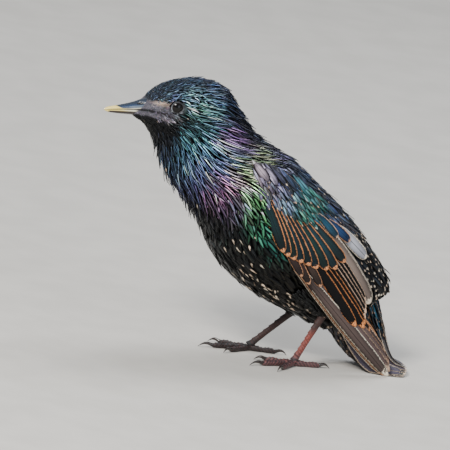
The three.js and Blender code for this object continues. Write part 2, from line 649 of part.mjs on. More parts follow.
// The origin is the centre of the footprint, on the floor.
const box = new THREE.Box3().setFromObject(bird);
bird.position.set(-(box.min.x + box.max.x) / 2, -(box.min.y + box.max.y) / 2, -box.min.z);
const group = new THREE.Group();
group.add(bird);
export default group;
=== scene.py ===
"""A common starling dressed over its solids: skin, plumage, bill, eyes, claws and a plain studio."""
import logging
import math
from dataclasses import dataclass, field
from enum import Enum

import bpy
import numpy as np
from mathutils import Matrix, Vector


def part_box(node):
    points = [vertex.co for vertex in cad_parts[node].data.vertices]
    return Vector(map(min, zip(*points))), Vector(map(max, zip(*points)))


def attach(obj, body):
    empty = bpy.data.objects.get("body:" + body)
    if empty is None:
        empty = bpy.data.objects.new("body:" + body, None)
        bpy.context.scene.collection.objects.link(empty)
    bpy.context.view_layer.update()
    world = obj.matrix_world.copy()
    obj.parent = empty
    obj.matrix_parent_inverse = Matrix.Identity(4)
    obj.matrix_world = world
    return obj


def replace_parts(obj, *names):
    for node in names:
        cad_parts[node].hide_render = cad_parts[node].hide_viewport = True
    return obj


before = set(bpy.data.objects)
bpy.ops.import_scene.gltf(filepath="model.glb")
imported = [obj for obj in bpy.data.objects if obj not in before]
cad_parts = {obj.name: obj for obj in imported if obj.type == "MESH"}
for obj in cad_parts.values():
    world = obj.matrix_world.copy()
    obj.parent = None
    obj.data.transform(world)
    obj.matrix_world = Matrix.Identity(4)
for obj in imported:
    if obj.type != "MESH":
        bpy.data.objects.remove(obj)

log = logging.getLogger("starling")
# a millimetre and the depth of fine relief in metres, a full turn, and the feathers' gap to the floor in mm
MM = 0.001
RELIEF = 0.0004
TURN = 2 * math.pi
FLOOR_GAP = 0.25
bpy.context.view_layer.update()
Array = np.ndarray
Point = tuple[float, float, float]
Table = tuple[tuple[float, ...], ...]
Random = np.random.Generator
Mesh = bpy.types.Mesh
Piece = bpy.types.Object
Finish = bpy.types.Material


class Side(Enum):
    """A side of the bird, with the sign of its X."""

    LEFT = 1
    RIGHT = -1


@dataclass(frozen=True)
class Eye:
    """Place and size of the eyes, in millimetres of the bird's own frame."""

    x: float = 8.5
    y: float = -79.7
    z: float = 119.9
    radius: float = 3.95
    lid: float = 2.72


EYE = Eye()


def origin_shift() -> Array:
    """Finds where the bird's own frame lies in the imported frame, from the two eyes.

    Returns:
        The shift in millimetres.
    """
    (a0, a1), (b0, b1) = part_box("eye_left"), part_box("eye_right")
    middle = (a0 + a1 + b0 + b1) / 4 / MM
    return np.array([middle.x, middle.y - EYE.y, middle.z - EYE.z])


SHIFT = origin_shift()


def linear(code: str) -> Array:
    """Turns a hex colour into linear red, green and blue."""
    c = np.array([int(code[i:i + 2], 16) / 255 for i in (1, 3, 5)])
    return np.where(c <= 0.04045, c / 12.92, ((c + 0.055) / 1.055) ** 2.4)


def unit(v: Array) -> Array:
    """Scales vectors along the last axis to length one."""
    return v / np.maximum(np.linalg.norm(v, axis=-1, keepdims=True), 1e-9)


def smooth(lo: float, hi: float, x: Array) -> Array:
    """Smooth step from 0 at lo to 1 at hi."""
    u = np.clip((x - lo) / (hi - lo), 0, 1)
    return u * u * (3 - 2 * u)


def bell(off: Array, reach: float) -> Array:
    """Bell curve, 1 at no distance and fading over the reach."""
    return np.exp(-((off / reach) ** 2))


def mixed(low: Array, high: Array, share: Array) -> Array:
    """Mixes two colours by a share a point."""
    share = np.asarray(share)[..., None]
    return low * (1 - share) + high * share


def circle(count: int) -> Array:
    """Angles of points spaced evenly once round."""
    return np.arange(count) / count * TURN


def eye_distance(p: Array) -> Array:
    """Distance of points from the nearer eye, seen from the side."""
    return np.hypot(p[..., 1] - EYE.y, p[..., 2] - EYE.z)


def knots(table: Table, x: Array) -> Array:
    """Smooth curve through (x, value) knots, held level past its ends.

    Args:
        table: Knots in rising order of x.
        x: Where the curve is read.

    Returns:
        The curve's values.
    """
    xs, ys = np.array(table, float).T
    slope = np.gradient(ys, xs)
    x = np.clip(x, xs[0], xs[-1])
    i = np.clip(np.searchsorted(xs, x) - 1, 0, len(xs) - 2)
    h = xs[i + 1] - xs[i]
    u = (x - xs[i]) / h
    return ((2 * u**3 - 3 * u**2 + 1) * ys[i] + (u**3 - 2 * u**2 + u) * h * slope[i]
            + (3 * u**2 - 2 * u**3) * ys[i + 1] + (u**3 - u**2) * h * slope[i + 1])


class Surface:
    """A surface read by two numbers; a runs along the lie of the feathers, b across it."""

    step_a = 0.01
    step_b = 0.01
    outward = 1.0

    def point(self, a: Array, b: Array, grow: float = 0.0) -> Array:
        """Points of the surface in millimetres."""
        raise NotImplementedError

    def normal(self, a: Array, b: Array) -> Array:
        """Works out which way the surface faces.

        Args:
            a: Places along the feathers' lie.
            b: Places across it.

        Returns:
            Outward directions of length one.
        """
        da = self.point(a + self.step_a, b) - self.point(a - self.step_a, b)
        db = self.point(a, b + self.step_b) - self.point(a, b - self.step_b)
        return unit(np.cross(db, da)) * self.outward


@dataclass
class StationSurface(Surface):
    """A round form through stations: ridge (y, z), lower line (y, z) and half width."""

    stations: Table

    def station(self, t: Array) -> list[Array]:
        """Reads the form between its stations.

        Args:
            t: Station numbers.

        Returns:
            Ridge y and z, lower y and z, and half width.
        """
        rows = np.array(self.stations)
        last = len(rows) - 1
        t = np.clip(t, 0, last - 1e-4)
        i = np.floor(t).astype(int)
        u = (t - i)[..., None]
        p0, p1, p2, p3 = (rows[np.clip(i + k, 0, last)] for k in (-1, 0, 1, 2))
        value = 0.5 * (2 * p1 + (p2 - p0) * u + (2 * p0 - 5 * p1 + 4 * p2 - p3) * u**2
                       + (3 * p1 - p0 - 3 * p2 + p3) * u**3)
        return [value[..., k] for k in range(5)]

    def size(self, t: Array) -> tuple[Array, Array]:
        """Half height and half width of the form at station numbers t."""
        dy, dz, vy, vz, w = self.station(t)
        return np.hypot(dy - vy, dz - vz) / 2, w

    def pitch(self, t: Array, b: Array) -> Array:
        """Millimetres from one station to the next, at least one."""
        near = self.point(t + 0.05, b) - self.point(t - 0.05, b)
        return np.maximum(np.linalg.norm(near, axis=-1) * 10, 1)

    def point(self, a: Array, b: Array, grow: float = 0.0) -> Array:
        """Finds points of the form.

        Args:
            a: Station numbers.
            b: Angles; 0 is the ridge and half a turn the lower line.
            grow: How far the points are moved outwards.

        Returns:
            The points.
        """
        dy, dz, vy, vz, w = self.station(a)
        half = np.maximum(np.hypot(dy - vy, dz - vz) / 2, 0.1)
        c = np.cos(b) * (1 + grow / half) / 2
        return np.stack([(w + grow) * np.sin(b), (dy + vy) / 2 + (dy - vy) * c,
                         (dz + vz) / 2 + (dz - vz) * c], -1)


BODY = StationSurface((
    (-92.1, 120.7, -98.7, 111.8, 4.6), (-87.5, 126.5, -95.0, 110.3, 7.6), (-80.5, 130.2, -91.0, 108.0, 10.2),
    (-71.5, 132.4, -87.0, 103.5, 11.8), (-61.5, 131.7, -83.5, 99.0, 12.4), (-53.0, 127.5, -80.0, 94.5, 13.2),
    (-46.5, 119.5, -76.0, 88.8, 14.8), (-38.5, 110.4, -71.0, 82.5, 17.0), (-27.0, 103.3, -64.5, 77.0, 20.5),
    (-15.6, 97.9, -58.5, 70.0, 23.5), (-4.2, 90.2, -53.5, 61.5, 25.4), (6.0, 83.2, -48.5, 52.7, 26.0),
    (15.5, 75.8, -41.0, 44.0, 25.4), (24.0, 68.0, -30.0, 36.0, 23.0), (31.5, 59.5, -17.0, 29.4, 19.3),
    (38.0, 52.0, -4.0, 24.7, 15.0), (42.5, 44.8, 8.3, 20.7, 10.5), (43.6, 39.5, 17.0, 17.5, 7.0),
))


@dataclass
class TailRoof(StationSurface):
    """The folded tail: angle 0 is its ridge and a quarter turn its lower edge."""

    step_a: float = 0.02
    grow_back: float = 0.8
    grow_up: float = 0.5

    def point(self, a: Array, b: Array, grow: float = 0.0) -> Array:
        """Finds points of the roof.

        Args:
            a: Station numbers.
            b: Angles from the ridge.
            grow: How far the points are moved outwards.

        Returns:
            The points.
        """
        dy, dz, vy, vz, w = self.station(a)
        c = np.cos(b)
        return np.stack([(w + grow) * np.sin(b), vy + (dy - vy) * c + grow * self.grow_back * c,
                         vz + (dz - vz) * c + grow * self.grow_up * c], -1)

    def core(self, share: float = 0.92, below: float = 0.02) -> StationSurface:
        """Round core inside the tail, from its ridge to its lower edge.

        Args:
            share: Size of the core beside the tail's.
            below: How far it reaches past the lower edge, as a share of the height.

        Returns:
            The core's surface.
        """
        rows = []
        for y, z, edge_y, edge_z, wide in self.stations:
            ridge = (edge_y + share * (y - edge_y), edge_z + share * (z - edge_z))
            low = (edge_y - below * (y - edge_y), edge_z - below * (z - edge_z))
            rows.append((*ridge, *low, share * wide))
        return StationSurface(tuple(rows))


TAIL = TailRoof((
    (37.0, 40.5, 16.5, 20.5, 6.8), (43.0, 27.0, 26.0, 9.8, 8.2), (48.2, 14.2, 34.5, 3.4, 9.4),
    (53.0, 6.4, 42.0, 1.3, 10.6), (60.0, 3.2, 56.0, 0.75, 12.0),
))


@dataclass
class WingFace(Surface):
    """Outer face of the folded wing: a runs from the wrist to the tip, b across to the back."""

    side: Table = ((0, 20.4), (12, 23.2), (30, 26.2), (50, 27), (65, 25.2), (80, 21.8),
                                             (95, 18.4), (112, 15.2), (131, 13.2))
    half: Table = ((0, 26), (20, 27), (45, 28), (70, 28), (95, 26), (131, 24))
    low: Table = ((0, -3), (4, -7.5), (12, -10.8), (24, -12), (36.5, -12.4), (62, -14.2),
                                            (95, -11), (112, -8.2), (120, -6.8))
    high: Table = ((0, 0.5), (4, 4.5), (15, 11), (30, 16), (45, 19), (60, 19), (75, 16),
                                             (84, 13), (96, 7), (104, 2), (112, 0.8), (120, 0))
    wrist: tuple[float, float] = (-37.8, 99.3)
    run: float = 0.672
    fall: float = 0.741
    middle: float = -5.0
    step_a: float = 0.5
    step_b: float = 0.5
    outward: float = -1.0

    def point(self, a: Array, b: Array, grow: float = 0.0) -> Array:
        """Finds points of the left wing's outer face.

        Args:
            a: Distances from the wrist towards the tip.
            b: Distances across, rising to the back.
            grow: How far the points are moved outwards.

        Returns:
            The points.
        """
        q = np.clip((b - self.middle) / knots(self.half, a), -0.98, 0.98)
        x = knots(self.side, a) * np.sqrt(1 - q * q) + grow
        y, z = self.wrist
        return np.stack([x, y + self.run * a + self.fall * b, z - self.fall * a + self.run * b], -1)

    def along_across(self, p: Array) -> tuple[Array, Array]:
        """Distances along and across the wing of points of the bird."""
        y, z = p[..., 1] - self.wrist[0], p[..., 2] - self.wrist[1]
        return self.run * y - self.fall * z, self.fall * y + self.run * z


WING = WingFace()


def limb_axes(top: Array, foot: Array) -> tuple[Array, Array]:
    """Finds the directions square to a limb.

    Args:
        top: Upper end of the limb.
        foot: Lower end of the limb.

    Returns:
        Directions across the limb and out of it.
    """
    axis = unit(foot - top)
    side = unit(np.array([1.0, 0, 0]) - axis * axis[0])
    return side, np.cross(axis, side)


@dataclass
class LimbSurface(Surface):
    """A tapering limb between two points; a runs 0 to 1 down it and b round it."""

    top: Point
    foot: Point
    widths: Table
    depths: Table
    outward: float = -1.0

    def point(self, a: Array, b: Array, grow: float = 0.0) -> Array:
        """Finds points of the limb.

        Args:
            a: Shares of the way down.
            b: Angles round it.
            grow: How far the points are moved outwards.

        Returns:
            The points.
        """
        top, foot = np.array(self.top), np.array(self.foot)
        side, up = limb_axes(top, foot)
        a, b = np.broadcast_arrays(np.asarray(a, float), np.asarray(b, float))
        w = (knots(self.widths, a) + grow) * np.cos(b)
        d = (knots(self.depths, a) + grow) * np.sin(b)
        return top + (foot - top) * a[..., None] + side * w[..., None] + up * d[..., None]


def outline_distance(y: Array, z: Array, outline: Table) -> Array:
    """Distance from a closed outline, less than zero inside it.

    Args:
        y: First coordinate of the points.
        z: Second coordinate of the points.
        outline: Corners of the outline.

    Returns:
        Signed distances.
    """
    inside = np.zeros(y.shape, bool)
    closed = (*outline, outline[0])
    for (ay, az), (by, bz) in zip(closed[:-1], closed[1:]):
        rise = bz - az if abs(bz - az) > 1e-9 else 1e-9
        inside ^= ((az > z) != (bz > z)) & (y < (by - ay) * (z - az) / rise + ay)
    near = line_distance(y, z, closed)
    return np.where(inside, -near, near)


def line_distance(y: Array, z: Array, line: Table) -> Array:
    """Distance of points from an open line.

    Args:
        y: First coordinate of the points.
        z: Second coordinate of the points.
        line: Corners of the line.

    Returns:
        Distances.
    """
    near = np.full(np.shape(y), 1e9)
    for (ay, az), (by, bz) in zip(line[:-1], line[1:]):
        u = np.clip(((y - ay) * (by - ay) + (z - az) * (bz - az)) / ((by - ay) ** 2 + (bz - az) ** 2), 0, 1)
        near = np.minimum(near, np.hypot(y - ay - u * (by - ay), z - az - u * (bz - az)))
    return near


def patch_arrays(patches: tuple[tuple, ...]) -> tuple[Array, Array, Array]:
    """Reads a table of colour patches.

    Args:
        patches: Middle, radius and hex colour of each patch.

    Returns:
        Centres, radii and linear colours.
    """
    centre = np.array([row[:2] for row in patches], float)
    radius = np.array([row[2] for row in patches], float)
    return centre, radius, np.array([linear(row[3]) for row in patches])


class Markings:
    """Colours of the plumage, the same on the skin and on the feathers: gloss hues with painted sheen.

    A patch is a middle (y, z), a radius, a colour and a strength.
    """

    # the pale tints among the patches are painted sheen, the gloss hue lightened where light catches the
    # feathers; the dark and deep-coloured ones are the plumage's own gloss
    patches: tuple[tuple[float, float, float, str, float], ...] = (
        (-84, 127, 6, "#53657c", 1.0), (-76, 129, 6, "#435678", 1.0), (-68, 131, 6, "#2a3a59", 1.0),
        (-74, 125, 4, "#9ccde0", 1.3), (-66, 125, 4, "#7f9fd0", 1.0), (-69, 121, 4.5, "#8fd6cb", 1.6),
        (-64, 118, 4.5, "#93bddc", 1.4), (-73, 113, 4.5, "#1d2a30", 1.8), (-55, 123, 7, "#2a3450", 1.1),
        (-50, 115, 5, "#2c2f45", 1.1), (-69, 107, 5.5, "#7cc4d6", 1.4), (-61, 103, 6, "#8cb2e0", 1.4),
        (-86, 108, 5, "#0c0d10", 1.9), (-85, 102, 5, "#232a3c", 1.4), (-79, 94, 6, "#56688e", 1.3),
        (-73, 97, 5.5, "#86b6dc", 1.3), (-58, 110, 4.5, "#d39bdc", 1.7), (-51, 104, 4, "#7d6a8c", 1.1),
        (-66, 93, 6, "#a3a6ea", 1.5), (-57, 88, 5, "#dca0d2", 1.7), (-70, 84, 6, "#39426a", 1.1),
        (-48, 96, 5.5, "#c2d6a4", 1.8), (-39, 84, 6, "#84c887", 1.5), (-49, 80, 4.5, "#544c66", 1.2),
        (-34, 76, 6, "#3f9a72", 1.2), (-25, 66, 6, "#2b7268", 1.0), (-60, 69, 8, "#15181c", 1.7),
        (-44, 60, 9, "#161a1a", 1.6), (-34, 52, 10, "#141410", 1.5), (-18, 40, 12, "#15130d", 1.5),
        (-38, 74, 4, "#37404e", 0.8), (-18, 97, 8, "#2c3d5c", 1.2), (-30, 102, 5, "#52506a", 1.2),
        (5, 82, 10, "#262f42", 1.3), (26, 62, 14, "#10151c", 1.6), (20, 20, 14, "#191a19", 1.3),
    )
    face_outline: Table = (
        (-99.5, 112.6), (-92.0, 113.2), (-86.1, 112.6), (-82.6, 111.3), (-80.0, 112.4), (-78.6, 115.2),
        (-81.9, 117.6), (-83.2, 120.4), (-84.8, 121.4), (-89.0, 121.2), (-93.0, 120.0), (-97.0, 117.5))
    mouth: Table = ((-96.4, 115.4), (-92.6, 115.9), (-89.2, 116.0), (-85.2, 115.7),
                                              (-81.2, 114.5), (-78.4, 112.9))

    def sheen(self, p: Array) -> Array:
        """Blends the patches' colours.

        Args:
            p: Points in the bird's frame.

        Returns:
            Colour of the plumage at the points, with its painted sheen, in linear light.
        """
        centre, radius, colour = patch_arrays(self.patches)
        strength = np.array([row[4] for row in self.patches], float)
        d = np.linalg.norm(p[..., None, 1:] - centre, axis=-1) / radius
        weight = strength * np.exp(-d**2) + 1e-6 * np.exp(-d)
        return (weight @ colour) / weight.sum(-1, keepdims=True)

    def bare(self, p: Array) -> Array:
        """How far a point lies in the thinly feathered face, 0 to 1."""
        return smooth(0.5, -0.6, outline_distance(p[..., 1], p[..., 2], self.face_outline))

    def gape(self, p: Array, reach: float) -> Array:
        """How near a point lies to the line of the mouth, 0 to 1."""
        return bell(line_distance(p[..., 1], p[..., 2], self.mouth), reach)

    def face(self, p: Array) -> Array:
        """Colours the thinly feathered face: lilac grey, buff over the nostril, painted shade along the
        crease of the mouth.

        Args:
            p: Points in the bird's frame.

        Returns:
            Colours of the face at the points.
        """
        y, z = p[..., 1], p[..., 2]
        over_nostril = bell(y + 87.0, 4.0) * bell(z - 120.6, 1.1)
        cheek = bell(y + 84.0, 3.6) * bell(z - 113.0, 1.6)
        base = mixed(linear("#66636f"), linear("#c4a795"), over_nostril)
        base = mixed(base, linear("#a79fae"), 0.7 * cheek)
        # painted shade along the crease of the mouth
        return base * (1 - 0.85 * self.gape(p, 0.55)[..., None])

    def spots(self, p: Array, rng: Random) -> Array:
        """Share of pale tip that each feather rooted at these points has.

        Args:
            p: Roots in the bird's frame, in millimetres.
            rng: Seeded random source.

        Returns:
            Strength of the pale tip, 0 to 1.
        """
        y, z = p[..., 1], p[..., 2]
        edge = bell(z - 40 + 0.55 * (y + 25), 5) * smooth(-50, -38, y) * 0.4
        line = bell(z - 52 + 0.8 * (y + 28), 2.2) * smooth(-42, -37, y) * 0.28
        cluster = bell(np.hypot(y + 42.5, z - 63.5), 4.0) * 0.6
        rump = smooth(8, 24, y) * 0.72
        mantle = smooth(-30, 0, y) * smooth(70, 84, z) * 0.16
        elsewhere = np.full_like(y, 0.008)
        chance = np.clip(np.maximum.reduce([edge, line, cluster, rump, mantle, elsewhere]), 0, 0.85)
        return (rng.random(y.shape) < chance) * rng.uniform(0.5, 1.0, y.shape)


MARKINGS = Markings()


class Value:
    """A shader socket that takes part in plain arithmetic."""

    def __init__(self, graph: "Graph", socket: bpy.types.NodeSocket) -> None:
        """Wraps one output socket of a graph."""
        self.graph = graph
        self.socket = socket

    def _math(self, operation: str, *inputs: "Value | float") -> "Value":
        """Adds a Math node that works on these inputs."""
        return self.graph.node("ShaderNodeMath", {"operation": operation}, dict(enumerate(inputs)))

    def __add__(self, other: "Value | float") -> "Value":
        """Sum."""
        return self._math("ADD", self, other)

    def __radd__(self, other: float) -> "Value":
        """Sum with a number on the left."""
        return self._math("ADD", other, self)

    def __sub__(self, other: "Value | float") -> "Value":
        """Difference."""
        return self._math("SUBTRACT", self, other)

    def __rsub__(self, other: float) -> "Value":
        """Difference from a number."""
        return self._math("SUBTRACT", other, self)

    def __mul__(self, other: "Value | float") -> "Value":
        """Product."""
        return self._math("MULTIPLY", self, other)

    def __rmul__(self, other: float) -> "Value":
        """Product with a number on the left."""
        return self._math("MULTIPLY", other, self)

    def __abs__(self) -> "Value":
        """Size without sign."""
        return self._math("ABSOLUTE", self)

    def sine(self) -> "Value":
        """Sine of the value."""
        return self._math("SINE", self)

    def larger(self, other: "Value | float") -> "Value":
        """The larger of two values."""
        return self._math("MAXIMUM", self, other)

    def ease(self, lo: float, hi: float, bottom: float = 0.0, top: float = 1.0) -> "Value":
        """Smooth step from bottom at lo to top at hi."""
        inputs = {"Value": self, "From Min": lo, "From Max": hi, "To Min": bottom, "To Max": top}
        return self.graph.node("ShaderNodeMapRange", {"interpolation_type": "SMOOTHSTEP"}, inputs)


class Graph:
    """The node tree of one material."""

    def __init__(self, name: str) -> None:
        """Starts a material that holds only its output.

        Args:
            name: Name of the material.
        """
        self.material = bpy.data.materials.new(name)
        self.material.use_nodes = True
        self.tree = self.material.node_tree
        self.tree.nodes.clear()
        self.output = self.tree.nodes.new("ShaderNodeOutputMaterial")

    def node(self, kind: str, settings: dict[str, object] | None = None,
             inputs: dict[str | int, object] | None = None, output: str | int = 0) -> Value:
        """Adds a node of any type.

        Args:
            kind: Blender's type name of the node.
            settings: Properties that are set first.
            inputs: Values or links of its sockets, by name or number.
            output: The output that is returned.

        Returns:
            The wrapped output socket.
        """
        node = self.tree.nodes.new(kind)
        for key, value in (settings or {}).items():
            setattr(node, key, value)
        for key, value in (inputs or {}).items():
            if isinstance(value, Value):
                self.tree.links.new(value.socket, node.inputs[key])
            else:
                node.inputs[key].default_value = value
        return Value(self, node.outputs[output])

    def attribute(self, name: str, output: str = "Color") -> Value:
        """Reads a named attribute of the mesh."""
        return self.node("ShaderNodeAttribute", {"attribute_name": name}, output=output)

    def split(self, vector: Value) -> list[Value]:
        """Splits a vector into its three numbers."""
        first = self.node("ShaderNodeSeparateXYZ", {}, {0: vector})
        return [Value(self, first.socket.node.outputs[i]) for i in range(3)]

    def blend(self, amount: Value | float, low: object, high: object) -> Value:
        """Mixes two colours.

        Args:
            amount: Share of the second colour.
            low: First colour, a link or four numbers.
            high: Second colour, a link or four numbers.

        Returns:
            The mixed colour.
        """
        node = self.tree.nodes.new("ShaderNodeMix")
        node.data_type = "RGBA"
        for index, value in ((0, amount), (6, low), (7, high)):
            if isinstance(value, Value):
                self.tree.links.new(value.socket, node.inputs[index])
            else:
                node.inputs[index].default_value = value
        return Value(self, node.outputs[2])

    def noise(self, scale: float, detail: float = 3.0, vector: Value | None = None) -> Value:
        """Cloudy noise on Object coordinates, or on another vector."""
        where = vector or self.object_place()
        return self.node("ShaderNodeTexNoise", {}, {"Vector": where, "Scale": scale, "Detail": detail})

    def object_place(self) -> Value:
        """The Object coordinates of the piece."""
        return self.node("ShaderNodeTexCoord", output="Object")

    def bump(self, height: Value, strength: float, distance: float = RELIEF) -> Value:
        """Turns a height into a normal."""
        return self.node("ShaderNodeBump", {}, {"Strength": strength, "Distance": distance, "Height": height})

    def finish(self, **sockets: object) -> Finish:
        """Ends the graph in one Principled shader.

        Args:
            sockets: Values or links by socket name, with underscores for spaces.

        Returns:
            The finished material.
        """
        inputs = {key.replace("_", " "): value for key, value in sockets.items()}
        shader = self.node("ShaderNodeBsdfPrincipled", {}, inputs)
        self.tree.links.new(shader.socket, self.output.inputs["Surface"])
        return self.material


def rgba(code: str) -> tuple[float, float, float, float]:
    """A hex colour as four linear numbers."""
    return (*linear(code), 1.0)


@dataclass(frozen=True)
class PlumageFinish:
    """Glossy black feathers: a painted highlight of the sheen colour down the middle, black edges, pale tips
    and edges, fine barbs.

    Core, spot, tip and rim say how far the painted highlight in the middle, the pale spot and the pale edge
    reach, as shares of the vane; shaft and deep say how strong the dark shaft and the dark outer half are.
    """

    name: str
    core: float = 0.62
    dark: str = "#050507"
    pale: str = "#f0e4cf"
    buff: str = "#e6955c"
    shaft_dark: str = "#0a0808"
    metallic: float = 0.55
    roughness: float = 0.34
    specular: float = 0.4
    spot: float = 2.0
    tip: float = 0.8
    rim: float = 0.8
    deep: float = 0.0
    shaft: float = 0.0
    barbs: float = 22.0
    barb_slant: float = 9.0
    grain: float = 900.0
    ragged: float = 1500.0
    relief: float = 0.22

    def material(self) -> Finish:
        """Builds the material from the feathers' own UV map and attributes.

        Returns:
            The finished material.
        """
        g = Graph(self.name)
        u, along, _ = g.split(g.node("ShaderNodeUVMap", {"uv_map": "vane"}))
        across = abs(u * 2.0 - 1.0)
        tip_share, rim_share, tone = g.split(g.attribute("mark"))
        # painted highlight: the sheen colour shows only down the middle of each vane, fading towards the
        # root, over the feather's black
        core = across.ease(self.core, 0.12) * along.ease(0.0, 0.35, 0.35, 1.0)
        base = g.blend(core, rgba(self.dark), g.attribute("sheen"))
        base = g.blend(along.ease(0.5, 0.9) * self.deep, base, rgba(self.dark))
        if self.shaft:
            base = g.blend(across.ease(0.07, 0.02) * self.shaft, base, rgba(self.shaft_dark))
        tip = (along - across * 0.10).ease(self.tip - 0.05, self.tip + 0.03) * tip_share
        tip = tip * across.ease(self.spot, self.spot * 0.6)
        uneven = g.noise(self.ragged, 2.0).ease(0.3, 0.7, -0.07, 0.07)
        end = (along + uneven * 0.3).ease(0.94, 0.97)
        edge = (across + uneven).ease(self.rim, self.rim + 0.1).larger(end)
        marks = tip.larger(edge * rim_share)
        colour = g.blend(marks, base, g.blend(tone, rgba(self.pale), rgba(self.buff)))
        stripe = (along * self.barbs * TURN + across * self.barb_slant).sine()
        grain = g.noise(self.grain, 2.0)
        rough = grain.ease(0.3, 0.7, self.roughness - 0.07, self.roughness + 0.1) + marks * 0.25
        normal = g.bump(stripe * 0.35 + grain * 0.5, self.relief)
        return g.finish(Base_Color=colour, Roughness=rough, Metallic=(1.0 - marks) * self.metallic,
                        Normal=normal, Specular_IOR_Level=self.specular)


@dataclass(frozen=True)
class SkinFinish:
    """Skin under the feathers, bare face and scaled legs, coloured by its own attribute."""

    name: str = "bird_skin"
    grain: float = 2600.0
    scales: float = 1500.0
    seam: str = "#120b0a"
    mottle: str = "#1a1012"

    def material(self) -> Finish:
        """Builds the material from the skin's colour attribute.

        Returns:
            The finished material.
        """
        g = Graph(self.name)
        horn, _, _ = g.split(g.attribute("mark"))
        fine = g.noise(self.grain, 4.0)
        cell = g.node("ShaderNodeTexVoronoi", {"feature": "DISTANCE_TO_EDGE"},
                      {"Vector": g.object_place(), "Scale": self.scales})
        dark = g.blend(cell.ease(0.0, 0.12, 0.75, 0.0) * horn, g.attribute("sheen"), rgba(self.seam))
        mottled = g.blend(fine.ease(0.35, 0.7, 0.0, 0.35), dark, rgba(self.mottle))
        return g.finish(Base_Color=mottled, Roughness=fine.ease(0.3, 0.7, 0.38, 0.58),
                        Normal=g.bump(fine * 0.4 + cell.ease(0.0, 0.2) * horn, 0.35))


@dataclass(frozen=True)
class HornFinish:
    """Horn of the bill and claws, coloured by its own attribute, with fine growth lines."""

    name: str
    roughness: float = 0.3
    grain: float = 1400.0
    growth: tuple[float, float, float] = (900.0, 90.0, 900.0)
    worn: str = "#2a2622"

    def material(self) -> Finish:
        """Builds the material from the horn's colour attribute.

        Returns:
            The finished material.
        """
        g = Graph(self.name)
        fine = g.noise(self.grain, 5.0)
        stretched = g.node("ShaderNodeMapping", {}, {"Vector": g.object_place(), "Scale": self.growth})
        long = g.noise(1.0, 3.0, stretched)
        colour = g.blend(long.ease(0.45, 0.75, 0.0, 0.35), g.attribute("sheen"), rgba(self.worn))
        rough = fine.ease(0.3, 0.7, self.roughness - 0.06, self.roughness + 0.14)
        return g.finish(Base_Color=colour, Roughness=rough, Coat_Weight=fine.ease(0.3, 0.7, 0.2, 0.35),
                        Normal=g.bump(fine * 0.5 + long, 0.2, 0.75 * RELIEF))


@dataclass(frozen=True)
class EyeFinish:
    """A wet dark brown eye with a black pupil."""

    name: str = "wet_eye"
    grain: float = 1800.0
    pupil: str = "#020203"
    iris: tuple[str, str] = ("#060406", "#130b09")
    rim: str = "#040303"
    ior: float = 1.38

    def material(self) -> Finish:
        """Builds the material; the distance from the pupil is the mesh's own attribute.

        Returns:
            The finished material.
        """
        g = Graph(self.name)
        far, _, _ = g.split(g.attribute("mark"))
        flecks = g.noise(self.grain, 4.0).ease(0.35, 0.65)
        brown = g.blend(flecks, *map(rgba, self.iris))
        colour = g.blend(far.ease(0.5, 0.6), rgba(self.pupil), brown)
        colour = g.blend(far.ease(0.86, 0.97), colour, rgba(self.rim))
        return g.finish(Base_Color=colour, Roughness=flecks.ease(0.0, 1.0, 0.03, 0.06), IOR=self.ior)


